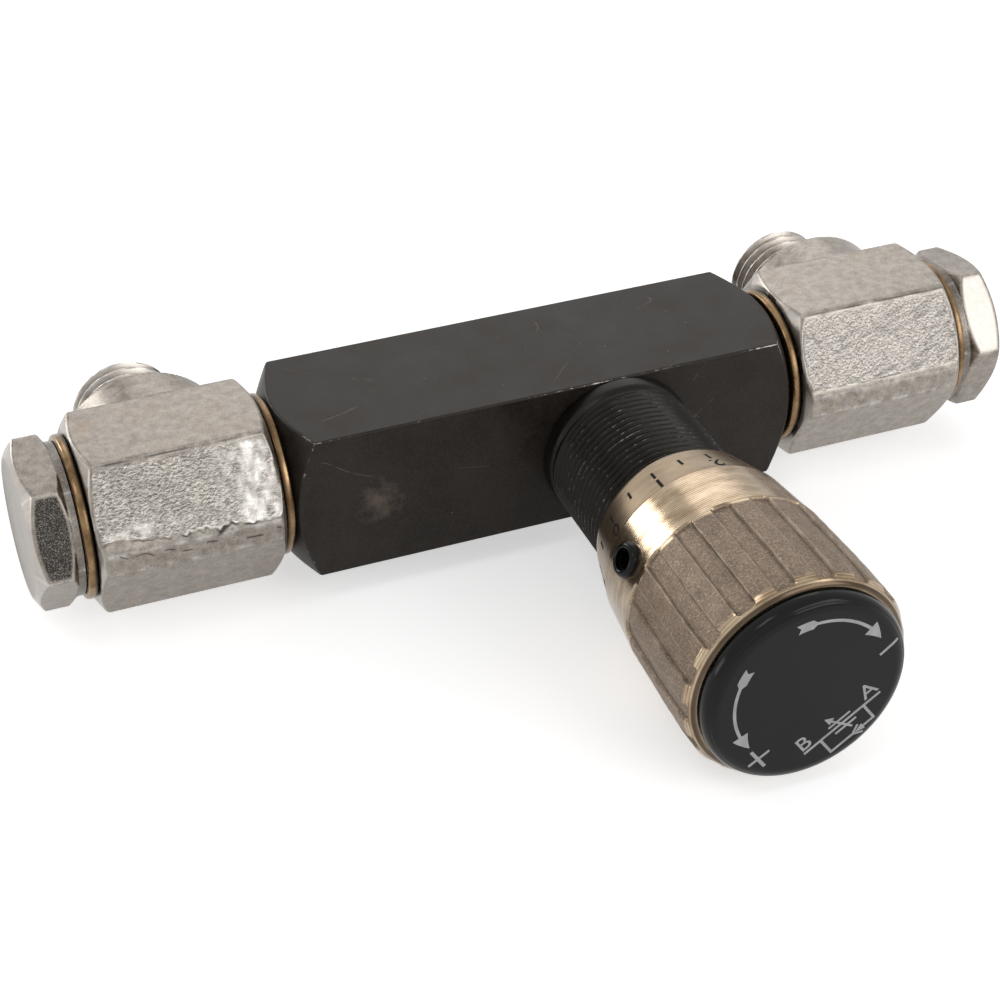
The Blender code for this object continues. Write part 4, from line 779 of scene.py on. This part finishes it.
def curvedArrow(first, last, radius, direction):
    # feathered tail, thin shaft and head, all on one circle; direction is -1 for clockwise
    notch, feather, tail, head = (first - direction * 2.6, first + direction * 9.0, first + direction * 12.0,
                                  last - direction * 14.0)
    bands = ((first, feather, 0, 0, 0.62, 0.62), (first, feather, 0, 0, -0.62, -0.62),
             (notch, first, 0.62, 0, 0.62, 0.62), (notch, first, -0.62, 0, -0.62, -0.62),
             (feather, tail, -0.62, -0.2, 0.62, 0.2), (tail, head, -0.2, -0.2, 0.2, 0.2),
             (head, last, -1.0, -0.02, 1.0, 0.02))
    return [arcBand(start, end, *[radius + offset for offset in offsets]) for start, end, *offsets in bands]


def printedLetter(text, u, v, height):
    # a letter turned with the signs and laid on the cap's surface
    points, triangles = textSolid(text, height, signs["letterThickness"], signs["letterBold"])
    plane = onCap(points[:, 0] + u, points[:, 1] + v)
    station = capSurface(np.hypot(plane[:, 0], plane[:, 1])) + points[:, 2] - 0.008
    return np.stack([knobX + plane[:, 0], -station, axisHeight + plane[:, 1]], -1), triangles


makeCap()
slabs = [slab for arrow in signs["arrows"] for slab in curvedArrow(*arrow)]
slabs += [stroke(*line) for line in signs["plusMinus"]]
slabs += [stroke(*line, 0.002 * number) for number, line in enumerate(signs["symbol"])]
makePiece("capSigns", slabs, printPaint, "knob", (), 30)
makeLetters("capLetters", [printedLetter(*letter) for letter in signs["letters"]], printPaint)
print("cap made")


# Banjo fittings: a forged hexagon with its flash flat, and a turned boss and threaded stem behind

banjo = dict(
    start=35.38, end=58.52, faceRadius=10.8, halfFlats=11.0, flash=11.9, stemX=47.45, bossRadius=10.92,
    bossEnd=11.6, neckRadius=7.4, neckEnd=13.75, rounding=0.5, pitRadius=2.9, pitFloor=7.2,
    # the left fitting's torn flash line: degrees round the flow axis, from +Y over +Z, along the fitting
    flashAt=[35.4, 39.8, 41.4, 42.5, 43.6, 45.4, 50.3, 54.3, 56.5, 58.5],
    flashDegrees=[170.0, 171.0, 169.2, 167.6, 170.6, 168.8, 168.6, 165.8, 165.2, 165.0], flashStraight=169.5,
    inner=[(58.52, 9.4), (58.52, 7.3), (58.1, 6.85), (47.0, 6.85), (35.8, 6.85), (35.38, 7.3), (35.38, 9.4)])


def banjoFields(u, y, z):
    # the distances outside three pairs of flats, the flash flat and the end cones
    radius = np.hypot(y, z)
    cone = (radius - banjo["faceRadius"] - np.minimum(u - banjo["start"], banjo["end"] - u) / slope) * 0.5
    flats = [np.abs(y * math.cos(math.radians(tilt)) + z * math.sin(math.radians(tilt))) - banjo["halfFlats"]
             for tilt in (30, 90, 150)]
    return flats + [-y - banjo["flash"], cone]


def banjoField(u, y, z):
    # a hexagon prism with turned ends and a flash flat, and the stem's boss of revolution with a pit in its top
    flatA, flatB, flatC, flash, cone = banjoFields(u, y, z)
    prism = smoothMax(hexagonPrism(flatA, flatB, flatC, banjo["rounding"]), flash, 0.35)
    forging = smoothMax(prism, cone, 0.35)
    spread = np.hypot(u - banjo["stemX"], z)
    bossRadius = np.interp(y, [banjo["bossEnd"], banjo["neckEnd"]], [banjo["bossRadius"], banjo["neckRadius"]])
    boss = np.maximum(smoothMax(spread - bossRadius, y - banjo["neckEnd"], 0.3), -y)
    pit = np.maximum(spread - banjo["pitRadius"] * y / banjo["neckEnd"], banjo["pitFloor"] - y)
    # the fillet only runs where the boss leaves the hexagon
    fillet = 0.02 + 0.68 * smoothStep((y - 6.0) / 3.0)
    return np.maximum(smoothMin(forging, boss, fillet), -pit)


def makeBanjo(side, label):
    # the field's radii, then the die's skin, flash line, cracks and notch as small changes of radius and as marks;
    # columns are finer round the flash line at the front
    angle = np.radians(np.concatenate([np.arange(0, 164, 0.9), np.arange(164, 194, 0.3), np.arange(194, 360, 0.9)]))
    angle = angle[None, :]
    ends = np.linspace(0, 1.6, 15)
    u = np.concatenate([banjo["start"] + ends, np.linspace(37.2, 56.7, 117), (banjo["end"] - ends)[::-1]])[:, None]
    radius = solveRadius(banjoField, u, angle, 26)
    uu, aa = np.broadcast_arrays(u, angle)
    fields = banjoFields(uu, radius * np.cos(aa), radius * np.sin(aa))
    degrees = np.degrees(aa)
    points = aroundX(side * u, radius, angle)
    noise = partial(wobble, points)
    isLeft = side < 0
    clear = smoothStep((-fields[4] - 0.1) / 0.3)  # 0 on the turned ends
    turned = smoothStep((fields[4] + 0.05) / 0.1) * (np.cos(aa) < 0.55) * 0.7
    # a painted highlight along the hexagon's edges, left off the back
    edge = edgeMark(fields[:4], 0.14) * clear * (np.cos(aa) < 0.3) * 0.4
    edge = edge * np.clip(0.7 + 0.5 * noise(3.0, 87 + side), 0, 1)
    # the die's skin covers the upper front flat down to the ragged flash line, and faintly the lower one
    flashLine = np.interp(uu, banjo["flashAt"], banjo["flashDegrees"]) if isLeft else banjo["flashStraight"]
    ragged = flashLine + (0.5 + 0.3 * -side) * noise(1.3, 71 + side)
    upper = smoothStep((degrees - 121) / 3) * smoothStep((ragged - degrees) / 0.7) * clear
    lower = smoothStep((degrees - 187) / 4) * smoothStep((238 - degrees) / 4) * clear
    skin = np.clip(upper + 0.12 * lower, 0, 1)
    # the left skin gets a painted highlight, in the turned colour, where the forging curves up to the bar, and in
    # places above its flash line
    if isLeft:
        paintedSkinHighlight = bell(uu - 38.6, 3.2) + 0.7 * bell(degrees - ragged + 5, 4.5) * smoothStep(0.5 + noise(6.0, 97))
        turned = turned + upper * np.clip(paintedSkinHighlight, 0, 1) * (0.5 + 0.35 * noise(2.0, 99))
    torn = 1.0 if isLeft else 0.16
    tear = clear * np.clip(0.62 + 0.6 * noise(2.6, 81 + side), 0, 1) * torn
    # a painted highlight along the lip of the torn flash line
    edge = np.clip(edge + bell(degrees - ragged + 0.5, 0.5) * tear, 0, 1)
    # a dark torn line follows the flash line, and a second broken one runs lower down
    lowerLine = flashLine + 9.5 + 1.6 * noise(3.4, 91 + side)
    broken = smoothStep(noise(3.0, 95 + side) * 2.5 + 0.25)
    crack = bell(degrees - ragged - 1.1, 0.6) * tear * 1.1
    crack = crack + bell(degrees - lowerLine, 0.55) * torn * clear * 0.9 * broken
    # a painted shadow line lies along the upper edge of the skin, where the skin steps down
    paintedEdgeShadow = bell(degrees - 120.6, 0.5) * clear * np.clip(0.35 + 0.7 * noise(5.0, 85 + side), 0, 0.8)
    # one torn notch in the left fitting's flash line
    notch = bell(uu - 43.6 - 0.12 * (degrees - 172), 0.28) * bell(degrees - 172.6, 2.6, 4) * isLeft
    crack = np.clip(crack + notch + paintedEdgeShadow, 0, 0.92)
    rough = noise(7.0, 25 + side) * 0.12 + noise(2.4, 21 + side) * 0.05 + noise(0.9, 31 + side) * 0.03
    lip = bell(degrees - ragged + 0.8, 1.1) * tear * 0.12
    radius = radius + rough * skin - 0.1 * upper + lip * clear - 0.25 * notch
    # the sheared flash leaves an uneven flat between its two lines
    radius = radius + bell(degrees - 180, 7.5, 4) * clear * (noise(3.0, 41 + side) * 0.05 - 0.1)
    rings = aroundX(*profile(banjo["inner"], side), angle)
    marks = padRows({"skin": skin, "edge": edge, "turned": turned, "crack": crack}, 0, len(rings))
    block = sheetOf(np.concatenate([aroundX(side * u, radius, angle), rings]), marks, wrapRows=True)
    makePiece("banjo" + label, [block, stemSheet(side)], zincLeft if isLeft else zincRight,
              "banjo_" + label.lower(), ["banjo_body_" + label.lower()], 42)


stem = dict(crest=6.85, depth=0.9, pitch=1.5, threadStart=14.3, threadEnd=21.5, end=22.1, endRadius=6.05,
            start=[(13.0, 6.4), (14.05, 6.4), (14.2, 5.98)],
            # the end, the cone's mouth, the tube socket and the bore
            inner=[(22.1, 6.0), (22.1, 5.15), (22.0, 5.0), (17.65, 4.05), (15.1, 4.05), (15.1, 2.75), (13.0, 2.75)])


def stemSheet(side):
    # a threaded sleeve: helical thread outside, chamfered end, cone mouth, tube socket and bore
    angle = turns(160)
    station = np.arange(stem["threadStart"], stem["threadEnd"], 0.1)[:, None]
    thread = threadRadius(station, angle, stem["crest"], stem["depth"], stem["pitch"])
    limit = stem["endRadius"] + (stem["end"] - station) * 1.0
    grow = stem["crest"] - stem["depth"] + stem["depth"] * smoothStep((station - stem["threadStart"]) / 0.5)
    thread = np.minimum(np.minimum(thread, limit), grow)
    around = partial(aroundStem, side * banjo["stemX"])
    # the crests are painted lighter in the turned colour, a painted highlight
    crest = smoothStep((thread - stem["crest"] + stem["depth"]) / stem["depth"]) * 0.45
    skin = np.concatenate([around(*profile(stem["start"]), angle), around(station, thread, angle),
                           around(*profile(stem["inner"]), angle)])
    return sheetOf(skin, padRows({"turned": crest}, len(stem["start"]), len(stem["inner"])), wrapRows=True)


makeBanjo(-1, "Left")
makeBanjo(1, "Right")
print("banjo fittings made")


# Banjo bolts: a chamfered hexagon head with a thin flange ring, and the hollow shank's outside

bolt = dict(flangeEnd=60.6, flangeTop=60.9, flange=9.6, end=65.9, face=8.9, neckFace=9.0, halfFlats=9.5, rounding=0.25,
            shank=[(60.0, 9.5), (60.0, 6.6), (59.9, 6.45), (55.4, 6.45), (55.1, 5.2), (38.8, 5.2), (38.5, 6.45),
                   (22.6, 6.45), (21.8, 5.7)])


def makeBolt(side, label, turn, frontFacetAt, skinShare, paintedShadeShare, paintedHighlightShare):
    # a hexagon prism cut by a cone at each end, joined to a round flange; one facet differs from the others in painted
    # light, and the flange carries painted shade
    def fields(u, y, z):
        radius, angle = np.hypot(y, z), np.arctan2(z, y)
        flats = [np.abs(radius * np.cos(angle - turn - math.radians(tilt))) - bolt["halfFlats"]
                 for tilt in (30, 90, 150)]
        outer = (radius - bolt["face"] - (bolt["end"] - u) / slope) * 0.5
        inner = (radius - bolt["neckFace"] - (u - bolt["flangeEnd"]) / slope) * 0.5
        return flats + [outer, inner]

    def field(u, y, z):
        flatA, flatB, flatC, outer, inner = fields(u, y, z)
        head = smoothMax(smoothMax(hexagonPrism(flatA, flatB, flatC, bolt["rounding"]), outer, 0.25), inner, 0.25)
        return smoothMin(head, np.maximum(np.hypot(y, z) - bolt["flange"], (u - bolt["flangeTop"]) * 0.8), 0.2)

    angle = turns(360)
    u = np.concatenate([np.linspace(65.9, 64.4, 26), np.linspace(64.2, 62.2, 12), np.linspace(62.0, 60.05, 34)])
    u = u[:, None]
    radius = solveRadius(field, u, angle, 14)
    uu, aa = np.broadcast_arrays(u, angle)
    values = fields(uu, radius * np.cos(aa), radius * np.sin(aa))
    facet = np.degrees(np.mod(aa - turn, 2 * math.pi))
    frontFacet = smoothStep((facet - frontFacetAt - 1) / 2) * smoothStep((frontFacetAt + 59 - facet) / 2)
    whole = smoothStep((-values[3] - 0.2) / 0.3) * smoothStep((-values[4] - 0.15) / 0.3)
    skin = whole * (0.08 + skinShare * frontFacet)
    # the edge mark paints a highlight on the hexagon's corners; on the front facet the turned colour is a painted
    # highlight and the dark colour painted shade with painted glints, and the flange is darkened with painted shade
    marks = {"skin": skin, "edge": edgeMark(values[:3], 0.12) * 0.4,
             "turned": smoothStep((values[3] + 0.1) / 0.08) * 0.5 + whole * frontFacet * paintedHighlightShare,
             "dull": whole * frontFacet * paintedShadeShare + 0.45 * smoothStep((61.3 - uu) / 0.3)}
    radius = radius + skin * wobble(aroundX(side * u, radius, angle), 1.4, 51 + side) * 0.025
    face = [(65.82, 3.0), (65.82, 8.2), (65.9, 8.45)]
    grid = np.concatenate([aroundX(*profile(face, side), angle), aroundX(side * u, radius, angle),
                           aroundX(*profile(bolt["shank"], side), angle)])
    sheet = sheetOf(grid, padRows(marks, len(face), len(bolt["shank"])), True, True)
    makePiece("banjoBolt" + label, [sheet], zincTurned, "valve", ["banjo_bolt_" + label.lower()])


# the left bolt's front facet is rough, with painted shade and painted glints; the right one's is smooth, with a
# painted highlight
makeBolt(-1, "Left", math.radians(7.2), 120, skinShare=0.6, paintedShadeShare=1.0, paintedHighlightShare=0.0)
makeBolt(1, "Right", math.radians(50.4), 60, skinShare=0.1, paintedShadeShare=0.0, paintedHighlightShare=0.5)


# Bonded seals: yellow passivated rings, their rubber lips stay as in the frame

seal = dict(length=1.36, inner=8.2, outer=10.3, power=0.6)


def makeSeal(side, start, towards, node, name):
    # a ring of rectangular section with rounded edges: a superellipse carried round the axis
    turn = np.linspace(0, 2 * math.pi, 28, endpoint=False)[:, None]
    middle, halfWide = (seal["inner"] + seal["outer"]) / 2, (seal["outer"] - seal["inner"]) / 2
    halfLong = seal["length"] / 2
    wide, long = [np.sign(wave) * np.abs(wave) ** seal["power"] for wave in (np.cos(turn), np.sin(turn))]
    angle = turns(200)
    grid = aroundX(side * (start + halfLong + long * halfLong), middle + wide * halfWide, angle)
    edge = smoothStep((long * towards + 0.1) / 0.8) + 0 * angle  # painted shade where the ring meets the fitting
    makePiece(name, [sheetOf(grid, {"edge": edge}, wrapRows=True)], yellowSteel, "valve", [node],
              60)


for side, label in ((-1, "Left"), (1, "Right")):
    for start, towards, place in ((33.96, 1, "Inner"), (58.58, -1, "Outer")):
        makeSeal(side, start, towards, f"seal_ring_{label}_{place}".lower(), "sealRing" + label + place)
print("bolts and seals made")


# Inner pieces keep their CAD meshes and get their real finishes

innerFinishes = (
    (nitrile, ("bush_o_ring", "spindle_o_ring", "seal_lip_left_inner", "seal_lip_left_outer", "seal_lip_right_inner",
               "seal_lip_right_outer")),
    (whitePlastic, ("spindle_backup_ring",)),
    (oxideScrew, ("spindle_stop_ring",)),
    (turnedSteel, ("check_poppet", "check_spring", "throttle_needle", "spindle", "knob_washer", "knob_screw")))
for finish, nodes in innerFinishes:
    for node in nodes:
        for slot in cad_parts[node].material_slots:
            slot.material = finish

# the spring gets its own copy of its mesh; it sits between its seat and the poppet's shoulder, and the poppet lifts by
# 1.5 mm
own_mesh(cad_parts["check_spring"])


# Studio: pale floor, white background, soft boxes

studio = dict(
    ambient=0.42, floorColour="#f6f6f6", floorGlow=0.53, floorHeight=-4.15, floorHalf=3.0, target=(0, -0.02, 0.01),
    # direction from the target, distance, width and height in metres, brightness in a mirror
    boxes=dict(frontRightBox=((0.46, -0.74, 0.46), 0.75, 0.5, 0.38, 2.9),
               leftBox=((-0.97, 0.15, 0.14), 0.8, 0.35, 0.22, 2.5),
               behindLeftBox=((-0.46, 0.84, 0.26), 0.75, 0.13, 0.3, 8.0),
               backBox=((0.26, 0.78, 0.57), 0.8, 0.5, 0.4, 1.1),
               overheadBox=((-0.4, -0.2, 0.9), 0.8, 0.22, 0.22, 3.0)))
view = dict(lens=82.22, place=(-0.09487, -0.22796, 0.17412),
            turn=((0.92871046, 0.21343477, -0.30322017), (-0.37078711, 0.54272522, -0.75363536),
                  (0.00371324, 0.81233918, 0.58317346)))


def seenShare(node):
    # 1 for rays from the camera, from reflections and through clear matter, 0 for rays that light the object
    path = node("LightPath").node.outputs
    seen = node("Math", {"operation": "MAXIMUM"}, {0: path["Is Camera Ray"], 1: path["Is Glossy Ray"]})
    return node("Math", {"operation": "MAXIMUM"}, {0: seen, 1: path["Is Transmission Ray"]})


def makeFloor():
    # one square of paper just under the object
    half, height = studio["floorHalf"], studio["floorHeight"] * mm
    corners = [(x * half, y * half, height) for x, y in ((-1, -1), (1, -1), (1, 1), (-1, 1))]
    mesh = bpy.data.meshes.new("studioFloor")
    mesh.from_pydata(corners, [], [(0, 1, 2, 3)])
    floor = bpy.data.objects.new("studioFloor", mesh)
    bpy.context.scene.collection.objects.link(floor)
    material = bpy.data.materials.new("paleStudioPaper")
    material.use_nodes = True
    material.node_tree.nodes.clear()
    node = partial(addNode, material.node_tree)
    # the paper's own diffuse keeps the shadow, and a glow for the camera and for reflections lifts it to white
    paper = node("BsdfDiffuse", {"Color": toLinear(studio["floorColour"])})
    glow = node("Emission", {"Color": (1, 1, 1, 1), "Strength": studio["floorGlow"]})
    lifted = node("AddShader", None, {0: paper, 1: glow})
    node("OutputMaterial", None, {"Surface": node("MixShader", None, {0: seenShare(node), 1: paper, 2: lifted})})
    mesh.materials.append(material)


def makeWorld():
    # white where it is seen, and a softer white where it lights the object
    world = bpy.data.worlds.new("studio")
    bpy.context.scene.world = world
    world.use_nodes = True
    world.node_tree.nodes.clear()
    node = partial(addNode, world.node_tree)
    soft, white = [node("Background", {"Color": (1, 1, 1, 1), "Strength": strength})
                   for strength in (studio["ambient"], 1.0)]
    node("OutputWorld", None, {"Surface": node("MixShader", None, {0: seenShare(node), 1: soft, 2: white})})


def softBox(name, direction, distance, wide, high, level):
    # an area lamp at a direction from the object, of that brightness in the eye of a mirror
    lamp = bpy.data.lights.new(name, "AREA")
    lamp.shape, lamp.size, lamp.size_y = "RECTANGLE", wide, high
    lamp.energy = level * math.pi * wide * high
    holder = bpy.data.objects.new(name, lamp)
    bpy.context.scene.collection.objects.link(holder)
    direction = Vector(direction).normalized()
    holder.location = Vector(studio["target"]) + direction * distance
    holder.rotation_euler = direction.to_track_quat("Z", "Y").to_euler()


makeFloor()
makeWorld()
for name, values in studio["boxes"].items():
    softBox(name, *values)

camera = bpy.data.objects.new("photoCamera", bpy.data.cameras.new("photoCamera"))
camera.data.lens, camera.data.sensor_width, camera.data.clip_start = view["lens"], 36.0, 0.01
bpy.context.scene.collection.objects.link(camera)
camera.matrix_world = Matrix.Translation(view["place"]) @ Matrix(view["turn"]).to_4x4()
bpy.context.scene.camera = camera
bpy.context.scene.view_settings.view_transform = "Standard"
print("studio made")
